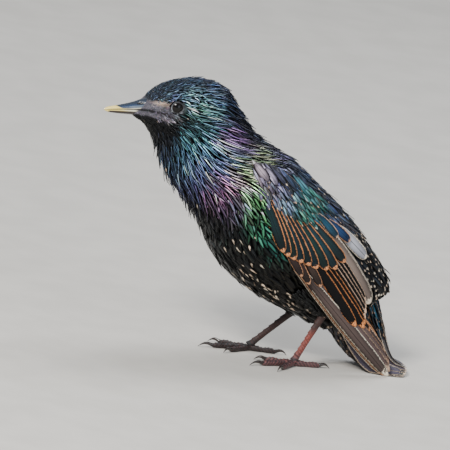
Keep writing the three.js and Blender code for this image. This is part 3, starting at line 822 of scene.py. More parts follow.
@dataclass
class Batch:
    """Vertices, faces and attributes of many closed vanes that end as one mesh."""

    name: str
    points: list[Array] = field(default_factory=list)
    faces: list[Array] = field(default_factory=list)
    caps: list[Array] = field(default_factory=list)
    vane_uv: list[Array] = field(default_factory=list)
    bake_uv: list[Array] = field(default_factory=list)
    sheen: list[Array] = field(default_factory=list)
    mark: list[Array] = field(default_factory=list)
    count: int = 0
    bake_size: float = 0.003

    def add(self, grid: Array, uv: Array, bake: Array, sheen: Array, mark: Array) -> None:
        """Adds vanes given as a grid of rings.

        Args:
            grid: Points, shaped vanes x rings x ring points x 3.
            uv: Across and along, shaped rings x ring points x 2.
            bake: Place of each vane on the unwrap, shaped vanes x 2.
            sheen: Colour of each vane, shaped vanes x 3.
            mark: Tip, rim and tone of each vane, shaped vanes x 3.
        """
        n, rings, k, _ = grid.shape
        base = self.count + np.arange(n)[:, None, None, None] * rings * k
        i = np.arange(rings - 1)[None, :, None, None]
        j = np.arange(k)[None, None, :, None]
        j2 = (j + 1) % k
        quads = np.concatenate([base + i * k + j, base + (i + 1) * k + j, base + (i + 1) * k + j2,
                                base + i * k + j2], -1).reshape(-1, 4)
        start = base[:, 0, 0] + np.arange(k)[None, :]
        end = base[:, 0, 0] + (rings - 1) * k + np.arange(k)[None, ::-1]
        self.points.append(grid.reshape(-1, 3))
        self.faces.append(quads)
        self.caps.append(np.concatenate([start, end]))
        self.vane_uv.append(np.broadcast_to(uv, (n, rings, k, 2)).reshape(-1, 2))
        self.bake_uv.append((uv[None] * self.bake_size + bake[:, None, None, :]).reshape(-1, 2))
        self.sheen.append(np.repeat(sheen, rings * k, 0))
        self.mark.append(np.repeat(mark, rings * k, 0))
        self.count += n * rings * k

    def build(self, finish: Finish, slot: str) -> Piece:
        """Makes the mesh object, its UV maps and its attributes.

        Args:
            finish: Material of the vanes.
            slot: Not used.

        Returns:
            The object, riding on the bird.
        """
        points = (np.concatenate(self.points) + SHIFT) * MM
        loops = [q.reshape(-1) for q in self.faces] + [c.reshape(-1) for c in self.caps]
        sizes = [np.full(len(q), 4) for q in self.faces] + [np.full(len(c), c.shape[1]) for c in self.caps]
        index, size = np.concatenate(loops), np.concatenate(sizes)
        mesh = bpy.data.meshes.new(self.name)
        mesh.vertices.add(len(points))
        mesh.vertices.foreach_set("co", points.astype(np.float32).ravel())
        mesh.loops.add(len(index))
        mesh.loops.foreach_set("vertex_index", index.astype(np.int32))
        mesh.polygons.add(len(size))
        mesh.polygons.foreach_set("loop_start", np.concatenate([[0], np.cumsum(size)[:-1]]).astype(np.int32))
        mesh.update(calc_edges=True)
        for name, rows in (("vane", self.vane_uv), ("OFBake", self.bake_uv)):
            layer = mesh.uv_layers.new(name=name)
            layer.uv.foreach_set("vector", np.concatenate(rows)[index].astype(np.float32).ravel())
        paint(mesh, "sheen", np.concatenate(self.sheen))
        paint(mesh, "mark", np.concatenate(self.mark))
        mesh.shade_smooth()
        piece = bpy.data.objects.new(self.name, mesh)
        bpy.context.scene.collection.objects.link(piece)
        return place(piece, finish)


def paint(mesh: Mesh, name: str, colour: Array) -> None:
    """Stores one colour a vertex in a named attribute.

    Args:
        mesh: The mesh.
        name: Name of the attribute.
        colour: Red, green and blue of every vertex.
    """
    layer = mesh.attributes.new(name, "FLOAT_COLOR", "POINT")
    rows = np.concatenate([colour, np.ones((len(colour), 1))], 1)
    layer.data.foreach_set("color", rows.astype(np.float32).ravel())


def place(piece: Piece, finish: Finish) -> Piece:
    """Gives a piece its material and body, and reports it.

    Args:
        piece: The finished piece.
        finish: Its material.

    Returns:
        The same piece.
    """
    piece.data.materials.clear()
    piece.data.materials.append(finish)
    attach(piece, "root")
    log.info("%s: %d faces", piece.name, len(piece.data.polygons))
    return piece


@dataclass(frozen=True)
class VaneShape:
    """Outline and section of one kind of feather."""

    outline: Table
    section: Table = ((-1, 0), (0, 0.7), (1, 0), (0, -0.5))
    rings: int = 6
    thick: float = 0.28
    crowding: float = 1.25
    thinning: float = 0.5

    def along(self) -> Array:
        """Places of the rings along the vane, closer together towards its tip."""
        return 1 - (1 - np.linspace(0, 1, self.rings)) ** self.crowding

    def width(self, u: Array) -> Array:
        """Share of the full width at places along the vane."""
        return np.interp(u, *np.array(self.outline).T)


class Kind(Enum):
    """The kinds of feather on the bird."""

    SCALE = VaneShape(((0, 0.5), (0.3, 1), (0.65, 0.9), (0.88, 0.5), (1, 0.08)), rings=5, thick=0.2)
    HACKLE = VaneShape(((0, 0.55), (0.3, 1), (0.6, 0.8), (0.85, 0.38), (1, 0.04)), thick=0.42)
    BODY = VaneShape(((0, 0.4), (0.3, 0.85), (0.65, 1), (0.85, 0.78), (0.95, 0.45), (1, 0.1)), thick=0.3)
    SHOULDER = VaneShape(((0, 0.4), (0.3, 0.85), (0.65, 1), (0.88, 0.7), (1, 0.12)),
                         ((-1, 0), (-0.5, 0.6), (0.5, 0.6), (1, 0), (0, -0.5)), rings=8, thick=0.34)
    COVERT = VaneShape(((0, 0.4), (0.25, 0.8), (0.6, 1), (0.85, 0.9), (0.95, 0.6), (1, 0.2)),
                       ((-1, 0), (-0.55, 0.55), (-0.06, 0.75), (0.06, 0.75), (0.55, 0.55), (1, 0), (0, -0.5)),
                       rings=12, thick=0.4)
    QUILL = VaneShape(((0, 0.5), (0.2, 0.8), (0.5, 1), (0.8, 0.95), (0.93, 0.72), (0.985, 0.34), (1, 0.12)),
                      ((-1, 0), (-0.55, 0.5), (-0.06, 0.75), (0.06, 0.75), (0.55, 0.5), (1, 0), (0, -0.5)),
                      rings=24, thick=0.45)


@dataclass
class Lay:
    """How a set of feathers lies on its surface; every field is one number a feather."""

    a0: Array
    b0: Array
    a1: Array
    b1: Array
    width: Array
    lift0: Array
    lift1: Array
    tilt: Array
    bend: Array

    @classmethod
    def scattered(cls, rng: Random, ends: tuple[Array, ...], width: tuple[float, float], lift: Point,
                  tilt: tuple[float, float], bend: float) -> "Lay":
        """Lays small feathers with random widths, lifts, tilts and bends.

        Args:
            rng: Seeded random source.
            ends: Root and tip places on the surface.
            width: Mean width, and the share by which it varies.
            lift: Lift of the root, and the least and most lift of the tip.
            tilt: Mean tilt and its spread.
            bend: Spread of the sideways bend.

        Returns:
            The lie of the feathers.
        """
        shape = ends[0].shape
        return cls(*ends, vary(rng, np.full(shape, width[0]), width[1]), np.full(shape, lift[0]),
                   rng.uniform(lift[1], lift[2], shape), rng.normal(*tilt, shape), rng.normal(0, bend, shape))

    def grid(self, surface: Surface, kind: VaneShape, sign: float = 1.0) -> tuple[Array, Array]:
        """Works out the points of every vane.

        Args:
            surface: What the feathers lie on.
            kind: Their outline and section.
            sign: -1 for the mirrored side.

        Returns:
            The grid of points and the UV places of one vane.
        """
        u = kind.along()
        a = self.a0[:, None] + (self.a1 - self.a0)[:, None] * u
        b = self.b0[:, None] + (self.b1 - self.b0)[:, None] * u + self.bend[:, None] * u * u
        out = surface.normal(a, b)
        rise = self.lift0[:, None] + (self.lift1 - self.lift0)[:, None] * u**0.8
        middle = surface.point(a, b) + out * rise[..., None]
        along = unit(np.gradient(middle, axis=1))
        side = unit(np.cross(out, along))
        up = unit(np.cross(along, side))
        tilt = self.tilt[:, None, None]
        side, up = side * np.cos(tilt) - up * np.sin(tilt), up * np.cos(tilt) + side * np.sin(tilt)
        half = (self.width[:, None] * kind.width(u) / 2)[:, :, None, None]
        x, h = np.array(kind.section).T
        thick = kind.thick * (1 - kind.thinning * u)[None, :, None, None]
        grid = middle[:, :, None] + side[:, :, None] * half * x[:, None] + up[:, :, None] * thick * h[:, None]
        uv = np.stack(np.broadcast_arrays((x[None, :] + 1) / 2, u[:, None]), -1)
        if np.mean(np.cross(side, up) * along) < 0:
            grid, uv = grid[:, :, ::-1], uv[:, ::-1]
        if sign < 0:
            grid, uv = grid[:, :, ::-1] * np.array([-1.0, 1, 1]), uv[:, ::-1]
        low = grid[..., 2].min(axis=2, keepdims=True) - FLOOR_GAP
        grid[..., 2] -= np.minimum(low, 0)
        return grid, uv


def vary(rng: Random, value: Array, share: float) -> Array:
    """Spreads values at random by a share of their size."""
    return value * (1 + rng.uniform(-share, share, np.shape(value)))


def jitter(rng: Random, value: Array, reach: float) -> Array:
    """Moves values at random by up to a reach."""
    return value + rng.uniform(-reach, reach, np.shape(value))


def chosen(rng: Random, count: int, chance: Array | float) -> Array:
    """Picks each of a number of feathers with a chance, as 0 or 1."""
    return (rng.random(count) < chance) * 1.0


def plain(code: str, count: int) -> Array:
    """One hex colour for each of a number of feathers, in linear light."""
    return np.tile(linear(code), (count, 1))


def tinted(rng: Random, colour: Array, spread: float = 0.45, darker: float = 0.0,
           hue_spread: float = 0.16) -> Array:
    """Varies the brightness and hue of each feather's colour.

    Args:
        rng: Seeded random source.
        colour: Colours before they are varied.
        spread: How far the brightness varies.
        darker: How much darker they are on the whole.
        hue_spread: How far each of red, green and blue varies.

    Returns:
        The varied colours.
    """
    light = np.exp(rng.normal(-darker, spread, (len(colour), 1)))
    hue = 1 + rng.uniform(-hue_spread, hue_spread, colour.shape)
    return np.clip(colour * light * hue, 0.001, 0.95)


class Region(Enum):
    """Which feathers of a length of the body a piece holds."""

    ALL = "all"
    UPPER = "upper"
    LOWER = "lower"
    FACE = "face"
    CAP = "cap"

    def holds(self, t: Array, angle: Array) -> Array:
        """Tells which roots belong to the region.

        Args:
            t: Stations of the roots.
            angle: Angles of the roots.

        Returns:
            True for each root that does.
        """
        if self in (Region.UPPER, Region.LOWER):
            return (np.cos(angle) > 0.1) == (self is Region.UPPER)
        if self in (Region.FACE, Region.CAP):
            return (MARKINGS.bare(BODY.point(t, angle)) > 0.5) == (self is Region.FACE)
        return np.full(t.shape, True)


@dataclass
class BodyCoat:
    """Feathers of the head, neck and trunk, laid row by row from the bill to the tail.

    Each table gives (station, millimetres): distance between rows and across them, and the feathers' length,
    width and lift. The fan gives how far feathers at an angle from the ridge turn to the side.
    """

    seed: int = 5
    row_length: Table = ((0, 0.65), (1, 0.8), (2.5, 1.15), (4, 1.6), (5, 1.9), (8, 2.1), (10, 2.3), (17, 2.5))
    across: Table = ((0, 0.5), (2, 0.75), (4, 0.95), (6, 1.15), (8, 1.4), (10, 1.75), (17, 1.9))
    length: Table = ((0, 1.4), (1, 2), (2.5, 3.4), (3.6, 5.2), (4.8, 8), (6, 9.8), (8, 11), (10, 10), (17, 9))
    width: Table = ((0, 0.6), (2, 0.9), (4, 1.2), (6, 1.5), (8, 1.9), (10, 2.5), (17, 3.1))
    lift: Table = ((0, 0.3), (3, 0.65), (4.5, 1.1), (6, 1.6), (8, 1.4), (10, 0.8), (17, 1.0))
    fan: Table = ((0, 0), (0.5, -0.16), (1.2, -0.36), (1.8, -0.12), (2.3, 0.1), (3.15, 0))
    spread: float = 0.18
    root_lift: float = -0.45
    last_station: float = 17.6
    eye_clear: float = 3.5
    flank: float = 1.6

    def roots(self, start: float, end: float, rng: Random) -> tuple[Array, Array]:
        """Scatters roots in staggered rows over a length of the body.

        Args:
            start: First station.
            end: Last station.
            rng: Seeded random source.

        Returns:
            Station and angle of every root.
        """
        stations, angles = [], []
        t = start
        while t < end:
            row = float(knots(self.row_length, t) / BODY.pitch(np.array(t), np.array(self.flank)))
            high, wide = BODY.size(np.array(t))
            around = math.pi * (3 * (high + wide) - math.sqrt((3 * high + wide) * (high + 3 * wide)))
            count = int(around / float(knots(self.across, t)))
            step = jitter(rng, np.arange(count) + (len(stations) % 2) * 0.5, 0.28)
            angles.append(step / count * TURN)
            stations.append(t + rng.uniform(-0.3, 0.3, count) * row)
            t += row
        return np.concatenate(stations), np.concatenate(angles)

    def lay(self, t: Array, angle: Array, rng: Random) -> tuple[Lay, Array]:
        """Sizes and places the feathers rooted at these stations and angles.

        Args:
            t: Stations of the roots.
            angle: Angles of the roots.
            rng: Seeded random source.

        Returns:
            Their lie, and the roots' points.
        """
        root = BODY.point(t, angle)
        left = angle % TURN < math.pi
        turn = np.minimum(angle % TURN, TURN - angle % TURN)
        bare = MARKINGS.bare(root)
        back = smooth(0.9, 0.5, turn)
        throat = smooth(2.0, 2.7, turn) * smooth(2.2, 4.2, t) * smooth(9.6, 8.0, t)
        nape = smooth(1.1, 0.5, turn) * smooth(2.2, 3.4, t) * smooth(7, 5.5, t)
        rump = smooth(13.5, 15.5, t) * back
        long = vary(rng, knots(self.length, t), self.spread) * (1 - 0.5 * bare)
        wide = vary(rng, knots(self.width, t), self.spread)
        wide = wide * (1 - 0.3 * back * smooth(8, 10, t)) * (1 - 0.45 * bare)
        lift = knots(self.lift, t) * rng.uniform(0.3, 1.25, t.shape) * (1 - 0.5 * bare)
        lift = lift + throat * rng.uniform(0, 2.3, t.shape) ** 2 * 0.65
        lift = lift + nape * rng.uniform(0, 1.1, t.shape)
        lift = lift + rump * rng.uniform(0, 1.7, t.shape)
        stray = chosen(rng, t.size, 0.08) * rng.uniform(0.2, 1.1, t.shape) * smooth(4, 6, t)
        drift = rng.normal(0, 0.045, t.shape)
        fan = knots(self.fan, turn) * smooth(3.4, 4.8, t) * smooth(9.0, 7.2, t)
        drift = drift + fan * np.where(left, 1.0, -1.0)
        end = np.minimum(t + long / BODY.pitch(t, angle), self.last_station)
        lay = Lay(t, angle, end, angle + drift, wide, np.full_like(t, self.root_lift), lift + stray,
                  rng.normal(0, 0.16, t.shape), rng.normal(0, 0.05, t.shape))
        return self.round_the_eye(lay), root

    def round_the_eye(self, lay: Lay) -> Lay:
        """Turns feathers that would lie over an eye aside and shortens them.

        Args:
            lay: How the feathers lie.

        Returns:
            The lie, with its tips clear of the eyes.
        """
        for _ in range(6):
            for share in (0.5, 0.8, 1.0):
                at = BODY.point(lay.a0 + (lay.a1 - lay.a0) * share, lay.b0 + (lay.b1 - lay.b0) * share)
                near = (eye_distance(at) < self.eye_clear) & (np.abs(at[:, 0]) > 7)
                away = np.where(at[:, 2] > EYE.z, -1.0, 1.0) * np.sign(at[:, 0])
                lay.b1 = lay.b1 + near * away * 0.05
                lay.a1 = np.where(near, lay.a0 + (lay.a1 - lay.a0) * 0.9, lay.a1)
        return lay

    def clear(self, t: Array, angle: Array) -> Array:
        """Tells which roots lie clear of the eyes and of the folded wings.

        Args:
            t: Stations of the roots.
            angle: Angles of the roots.

        Returns:
            True for each root that is clear.
        """
        p = BODY.point(t, angle)
        off_eye = (np.abs(p[:, 0]) < 6) | (eye_distance(p) > self.eye_clear + 0.05)
        s, n = WING.along_across(p)
        deep = (n - knots(WING.low, s) > 4.5) & (knots(WING.high, s) - n > 4) & (s > 5) & (s < 110)
        return off_eye & ~(deep & (np.abs(p[:, 0]) > 8))

    def piece(self, name: str, stations: tuple[float, float], kind: Kind, finish: Finish,
              slot: str, region: Region = Region.ALL) -> Piece:
        """Builds one coat piece.

        Args:
            name: Name of the piece.
            stations: First and last station.
            kind: Kind of feather.
            finish: Material of the feathers.
            slot: Not used.
            region: Which feathers it holds.

        Returns:
            The piece.
        """
        rng = np.random.default_rng(self.seed + int(stations[0] * 100) + len(region.value))
        t, angle = self.roots(*stations, rng)
        good = self.clear(t, angle) & region.holds(t, angle)
        t, angle = t[good], angle[good]
        lay, root = self.lay(t, angle, rng)
        grid, uv = lay.grid(BODY, kind.value)
        bare = MARKINGS.bare(root)
        plumage = tinted(rng, MARKINGS.sheen(root), 0.75, 0.3)
        colour = mixed(plumage, tinted(rng, MARKINGS.face(root), 0.5, 0.1), bare)
        tips = MARKINGS.spots(root, rng) * (1 - bare)
        mark = np.stack([tips, 0 * tips, rng.uniform(0, 0.35, tips.shape)], 1)
        unwrap = np.stack([0.02 + 0.95 * (angle % TURN) / TURN, 0.02 + 0.95 * t / 18], 1)
        batch = Batch(name)
        batch.add(grid, uv, unwrap, colour, mark)
        return batch.build(finish, slot)


@dataclass(frozen=True)
class Feather:
    """One large feather: root and tip on the wing face, width, lifts, colour and markings."""

    root: tuple[float, float]
    tip: tuple[float, float]
    width: float
    lift: tuple[float, float]
    colour: str
    rim: float = 1.0
    pale: float = 0.0
    tone: float = 0.8


@dataclass
class WingCoat:
    """Feathers of one folded wing, in tiers from the primaries up to the lesser coverts.

    A primary is its tip, the distance of its root from the lowest one's, lifts, colour, rim and tone. The
    front is the line (along, across) where the small feathers meet the greater coverts.
    """

    side: Side
    seed: int = 31
    tilt: float = 0.2
    primaries: tuple[tuple, ...] = (
        ((128.5, -4.8), 0.0, (0.0, 0.4), "#3a2f2e", 1.0, 0.1),
        ((130.3, -3.9), 0.85, (0.35, 0.9), "#4a3c3a", 1.0, 0.75),
        ((130.6, -3.0), 1.7, (0.6, 1.3), "#625350", 1.0, 0.0),
        ((129.0, -1.2), 3.9, (0.4, 1.3), "#6b5b58", 0.5, 0.4),
        ((125.5, 0.1), 5.4, (0.4, 1.3), "#6b5b58", 0.35, 0.6),
        ((120.0, 0.8), 6.4, (0.4, 1.3), "#54484a", 0.8, 0.5),
        ((113.0, 1.0), 7.4, (0.4, 1.35), "#2b2525", 1.0, 0.9),
        ((105.7, 0.2), 8.2, (0.4, 1.4), "#1c1718", 1.0, 0.9))
    primary_root: tuple[float, float] = (54.0, -13.0)
    secondary_tips: Table = ((97.6, -3.5), (101.1, -1.0), (99.6, 0.6), (97.2, 1.9), (95.0, 3.1), (92.8, 4.4),
                             (89.5, 6.0))
    secondary_root: tuple[float, float] = (46.0, -4.4)
    primary_covert_tips: Table = ((58, -12.6), (63.6, -11.4), (68.1, -7.6))
    covert_tips: Table = ((42.2, -13.4), (45.2, -12.2), (48.2, -10.9), (51.4, -9.2), (54.8, -7.2),
                          (58.2, -4.9), (62.0, -1.2), (64.8, 2.6), (65.2, 7.4))
    covert_colours: tuple[str, ...] = ("#0f282c", "#122f38", "#143636", "#10333e")
    front: Table = ((-3, 3, 8, 14, 20, 26, 32, 38, 44, 54), (-1, -5.5, -7, -5.8, -3.2, 0.5, 4, 8.5, 12.5, 16))
    # the paler lilac and grey-blue patches are painted sheen on the small feathers' purple and green gloss
    patches: tuple[tuple[float, float, float, str], ...] = (
        (7, 0, 6, "#8a7f96"), (10, 6, 6, "#5f6490"), (17, -2, 7, "#9096ae"), (22, -6, 5, "#74859c"),
        (26, 3, 5, "#5a8394"), (31, 9, 6, "#5faf8e"), (24, 10, 5, "#4c8b8e"), (37, 6, 5, "#3d8f96"),
        (44, 11, 6, "#2b5680"), (38, 14, 6, "#34506e"), (48, 18, 7, "#55566c"), (30, 15, 6, "#2e4468"),
        (16, 10, 6, "#34466e"), (60, 18, 7, "#5d5c6a"))

    def quills(self) -> list[Feather]:
        """Lists the primaries, secondaries and tertials.

        Returns:
            The feathers, the lowest first.
        """
        s, n = self.primary_root
        rows = [Feather((s + i, n + rise), tip, 6.4, lift, colour, rim, 0.0, tone)
                for i, (tip, rise, lift, colour, rim, tone) in enumerate(self.primaries)]
        s, n = self.secondary_root
        for i, tip in enumerate(self.secondary_tips):
            tone = 1.0 if i < 3 else 0.45
            rows.append(Feather((s, n + 1.75 * i), tip, 5.4, (1.0, 2.0 + 0.1 * i), "#060608", tone=tone))
        rows.append(Feather((46, 8.4), (92.1, 7.4), 10.0, (1.2, 2.9), "#857870", 0.8, 0.0, 0.1))
        # the pale blue grey of this tertial is painted sheen, light on its gloss
        rows.append(Feather((50, 14.4), (73.2, 17.0), 7.4, (0.8, 2.7), "#c9cad2", 1.0, 0.0, 0.0))
        return rows

    def coverts(self) -> list[Feather]:
        """Lists the primary and greater coverts, and a few broad feathers over the tertials and the shoulder.

        Returns:
            The feathers, the lowest first.
        """
        rows = [Feather((s - 24, n * 0.85), (s, n), 4.6, (0.2, 1.7), "#3d2f2c", 0.8)
                for s, n in self.primary_covert_tips]
        for i, (s, n) in enumerate(self.covert_tips):
            root, colour = (s - 31, n * 0.5 + 0.6), self.covert_colours[i % 4]
            rows.append(Feather(root, (s, n), 6.2, (0.4, 2.3 + 0.06 * i), colour, tone=0.95))
        rows.append(Feather((44, 12.0), (59.5, 14.6), 5.4, (1.4, 3.0), "#23406a", 0.9, 0.3, 0.7))
        rows.append(Feather((38, 9.5), (53.0, 10.6), 4.8, (1.4, 2.8), "#20485e", 0.8, 0.3, 0.5))
        # the pale lilac of these two broad shoulder feathers is their purple gloss with painted sheen
        rows.append(Feather((-1, -1.6), (9.4, -1.4), 5.0, (0.7, 1.7), "#a395a2", 0.0, 0.0, 0.1))
        rows.append(Feather((4, 1.6), (13.6, 1.2), 3.8, (0.8, 1.8), "#8f86a0", 0.0, 0.0, 0.5))
        return rows

    def streaks(self, rng: Random) -> tuple[Lay, Array, Array]:
        """Narrow overlapping feathers of the shoulder, the lesser and median coverts and the scapulars.

        Args:
            rng: Seeded random source.

        Returns:
            Their lie, colours and marks.
        """
        rows = []
        for k, s in enumerate(np.arange(-3.0, 54.0, 1.4)):
            low = float(np.interp(s, *self.front)) + (k % 2) * 0.75
            high = float(knots(WING.high, np.array(s))) - 0.4
            rows += [(s, n) for n in np.arange(low, high, 1.5)]
        s, n = np.array(rows).T
        s, n = jitter(rng, s, 0.8), jitter(rng, n, 0.6)
        rim = smooth(2.5, 0.5, n - np.interp(s, *self.front))
        long = vary(rng, 10.5 - 2.0 * rim, 0.15)
        slope = -0.10 + 0.012 * n
        ends = (s, n, s + long, n + slope * long + rng.normal(0, 0.35, s.shape))
        lay = Lay.scattered(rng, ends, (2.1, 0.25), (-0.2, 0.9, 2.1), (-0.1, 0.12), 0.25)
        centre, radius, tone = patch_arrays(self.patches)
        far = np.hypot(s[:, None] + 5 - centre[:, 0], n[:, None] - centre[:, 1])
        weight = bell(far, radius) + 1e-5
        colour = tinted(rng, weight @ tone / weight.sum(1, keepdims=True), 0.6, 0.15)
        tips = chosen(rng, s.size, 0.10 + 0.45 * rim) * rng.uniform(0.5, 1.0, s.shape)
        edge = 0.35 * chosen(rng, s.size, 0.3)
        return lay, colour, np.stack([tips, edge, rng.uniform(0, 0.6, s.shape)], 1)

    def lay(self, rows: list[Feather], rng: Random) -> Lay:
        """Turns a list of feathers into their lie on the wing.

        Args:
            rows: The feathers.
            rng: Seeded random source.

        Returns:
            Their lie.
        """
        root = np.array([row.root for row in rows], float)
        tip = np.array([row.tip for row in rows], float)
        lift = np.array([row.lift for row in rows], float)
        width = np.array([row.width for row in rows], float)
        return Lay(*root.T, *tip.T, vary(rng, width, 0.04), lift[:, 0], jitter(rng, lift[:, 1], 0.05),
                   np.full(len(rows), -self.tilt), rng.normal(0, 0.15, len(rows)))

    def piece(self, name: str, kind: Kind, lay: Lay, colour: Array, mark: Array,
              finish: Finish) -> Piece:
        """Builds one tier of feathers as a piece.

        Args:
            name: Name of the piece, without its side.
            kind: Kind of feather.
            lay: How its feathers lie.
            colour: Their colours.
            mark: Their marks.
            finish: Their material.

        Returns:
            The piece.
        """
        grid, uv = lay.grid(WING, kind.value, self.side.value)
        unwrap = np.stack([0.05 + 0.9 * (lay.a0 + 5) / 140, 0.3 + lay.b0 / 90], 1)
        batch = Batch(f"{name}_{self.side.name.lower()}")
        batch.add(grid, uv, unwrap, colour, mark)
        return batch.build(finish, "wing_feathers")

    def tier(self, name: str, rows: list[Feather], kind: Kind, finish: Finish) -> Piece:
        """Builds one tier of large feathers.

        Args:
            name: Name of the piece, without its side.
            rows: Its feathers.
            kind: Kind of feather.
            finish: Their material.

        Returns:
            The piece.
        """
        rng = np.random.default_rng(self.seed + self.side.value)
        lay = self.lay(rows, rng)
        colour = tinted(rng, np.array([linear(row.colour) for row in rows]), 0.1, 0.0, 0.05)
        mark = np.array([[row.pale, row.rim, row.tone] for row in rows])
        return self.piece(name, kind, lay, colour, mark, finish)

    def build(self, quill: Finish, covert: Finish, shoulder: Finish) -> None:
        """Builds the three tiers of the wing.

        Args:
            quill: Material of the flight feathers.
            covert: Material of the coverts.
            shoulder: Material of the small feathers.
        """
        self.tier("flight_feathers", self.quills(), Kind.QUILL, quill)
        self.tier("wing_coverts", self.coverts(), Kind.COVERT, covert)
        streaks = self.streaks(np.random.default_rng(self.seed + 9))
        self.piece("shoulder_feathers", Kind.SHOULDER, *streaks, shoulder)


@dataclass
class TailCoat:
    """Twelve tail feathers and the coverts over and under their roots."""

    seed: int = 77
    pairs: int = 6
    quill_colour: str = "#5d5d65"
    upper_colour: str = "#1d3b4c"
    under_colour: str = "#3b3b42"

    def feathers(self, finish: Finish) -> Piece:
        """Builds the tail feathers, the middle pair on top.

        Args:
            finish: Their material.

        Returns:
            The piece.
        """
        rng = np.random.default_rng(self.seed)
        i = np.arange(self.pairs, dtype=float)
        q = 0.12 + 0.25 * i
        flat = np.ones(self.pairs)
        lay = Lay(0.2 - 0.03 * i, q, 3.99 * flat, q, 7.4 * flat, -0.2 - 0.06 * i, 0.1 - 0.06 * i, 0.13 * flat,
                  rng.normal(0, 0.01, self.pairs))
        batch = Batch("tail_quills")
        for sign in (1.0, -1.0):
            grid, uv = lay.grid(TAIL, Kind.QUILL.value, sign)
            unwrap = np.stack([0.3 + 0.05 * i + 0.35 * (sign < 0), 0.4 * flat], 1)
            colour = tinted(rng, plain(self.quill_colour, self.pairs), 0.1)
            batch.add(grid, uv, unwrap, colour, np.tile([0.0, 0.7, 0.2], (self.pairs, 1)))
        return batch.build(finish, "tail_feathers")

    def coverts(self, finish: Finish) -> Piece:
        """Builds the upper and under tail coverts on both sides.

        Args:
            finish: Their material.

        Returns:
            The piece.
        """
        rng = np.random.default_rng(self.seed + 1)
        batch = Batch("tail_coverts")
        for sign in (1.0, -1.0):
            rows = [(t, q) for t in np.arange(0.0, 1.9, 0.2) for q in np.arange(0.0, 1.72, 0.17)]
            t, q = np.array(rows).T
            t, q = jitter(rng, t, 0.07), jitter(rng, q, 0.05)
            keep = (t < 1.3) & (q < 0.7) | (t < 0.35) & (q < 1.1)
            t, q = t[keep], q[keep]
            ends = (t - 0.2, q, t + np.where(q > 1.0, 0.22, 0.7), q)
            lay = Lay.scattered(rng, ends, (3.6, 0.15), (-0.5, 0.3, 0.9), (0.05, 0.08), 0.03)
            grid, uv = lay.grid(TAIL, Kind.BODY.value, sign)
            mark = np.stack([0.8 * chosen(rng, t.size, 0.2), 0.5 * chosen(rng, t.size, 0.5),
                             rng.uniform(0.2, 0.8, t.shape)], 1)
            unwrap = np.stack([0.1 + 0.2 * t + 0.45 * (sign < 0), 0.1 + 0.4 * q], 1)
            tone = mixed(MARKINGS.sheen(TAIL.point(t, q)), linear(self.upper_colour), smooth(1.0, 0.4, q))
            batch.add(grid, uv, unwrap, tinted(rng, tone, 0.5), mark)
        self.under(batch, rng)
        return batch.build(finish, "tail_feathers")

    def under(self, batch: Batch, rng: Random) -> None:
        """Adds the coverts under the tail.

        Args:
            batch: The vanes that they join.
            rng: Seeded random source.
        """
        t, q = (v.ravel() for v in np.meshgrid(np.arange(0.05, 2.0, 0.15), np.arange(1.8, 4.55, 0.17)))
        t, q = jitter(rng, t, 0.06), jitter(rng, q, 0.05)
        lay = Lay.scattered(rng, (t, q, t + 0.5, q), (2.6, 0.15), (-0.6, 0.1, 0.5), (0, 0.1), 0.03)
        grid, uv = lay.grid(TAIL.core(), Kind.BODY.value)
        tips, rims = 0.5 * chosen(rng, t.size, 0.2), 0.3 * chosen(rng, t.size, 0.4)
        mark = np.stack([tips, rims, np.full(t.shape, 0.4)], 1)
        unwrap = np.stack([0.1 + 0.2 * t, 0.05 + 0.2 * q], 1)
        batch.add(grid, uv, unwrap, tinted(rng, plain(self.under_colour, t.size), 0.35), mark)


@dataclass(frozen=True)
class LegPlan:
    """Where one leg stands, and its toes: name, angle from straight ahead and length with the claw."""

    side: Side
    foot: tuple[float, float]
    heel: Point
    knee: Point
    toes: tuple[tuple[str, float, float], ...]
    ankle: float = 2.2
    claw_share: float = 0.27

    def shank_ends(self) -> tuple[Array, Array]:
        """Heel joint and ankle, the two ends of the shank."""
        return np.array(self.heel), np.array([*self.foot, self.ankle])

    def toe_ring(self, angle: float, run: float, x: Array, z: Array) -> Array:
        """Places one ring of a toe or claw.

        Args:
            angle: The toe's angle from straight ahead, in degrees.
            run: Distance of the ring from the middle of the foot.
            x: Places of the ring's points across the toe.
            z: Their heights.

        Returns:
            The ring's points.
        """
        turn = math.radians(angle)
        ahead = np.array([math.sin(turn), -math.cos(turn), 0])
        side = np.array([-math.cos(turn), -math.sin(turn), 0])
        return np.array([*self.foot, 0]) + ahead * run + side * x[:, None] + np.array([0, 0, 1]) * z[:, None]


LEGS = (
    LegPlan(Side.LEFT, (12, 0), (13.2, 10.6, 27.4), (15, -6, 44),
            (("inner", -14, 19), ("middle", 20, 26), ("outer", 52, 20), ("hind", 186, 19))),
    LegPlan(Side.RIGHT, (-11.1, -16.4), (-11.6, 5.4, 23.6), (-14, -10, 42),
            (("inner", 36, 19), ("middle", 6, 26), ("outer", -30, 20), ("hind", 172, 19))),
)


def thigh_surface(plan: LegPlan) -> LimbSurface:
    """The feathered thigh of a leg."""
    return LimbSurface(plan.knee, plan.heel, ((0, 6.4), (0.3, 5.5), (0.6, 4.2), (0.85, 2.8), (1, 1.9)),
                       ((0, 8.8), (0.3, 7.4), (0.6, 5.3), (0.85, 3.4), (1, 2.4)))


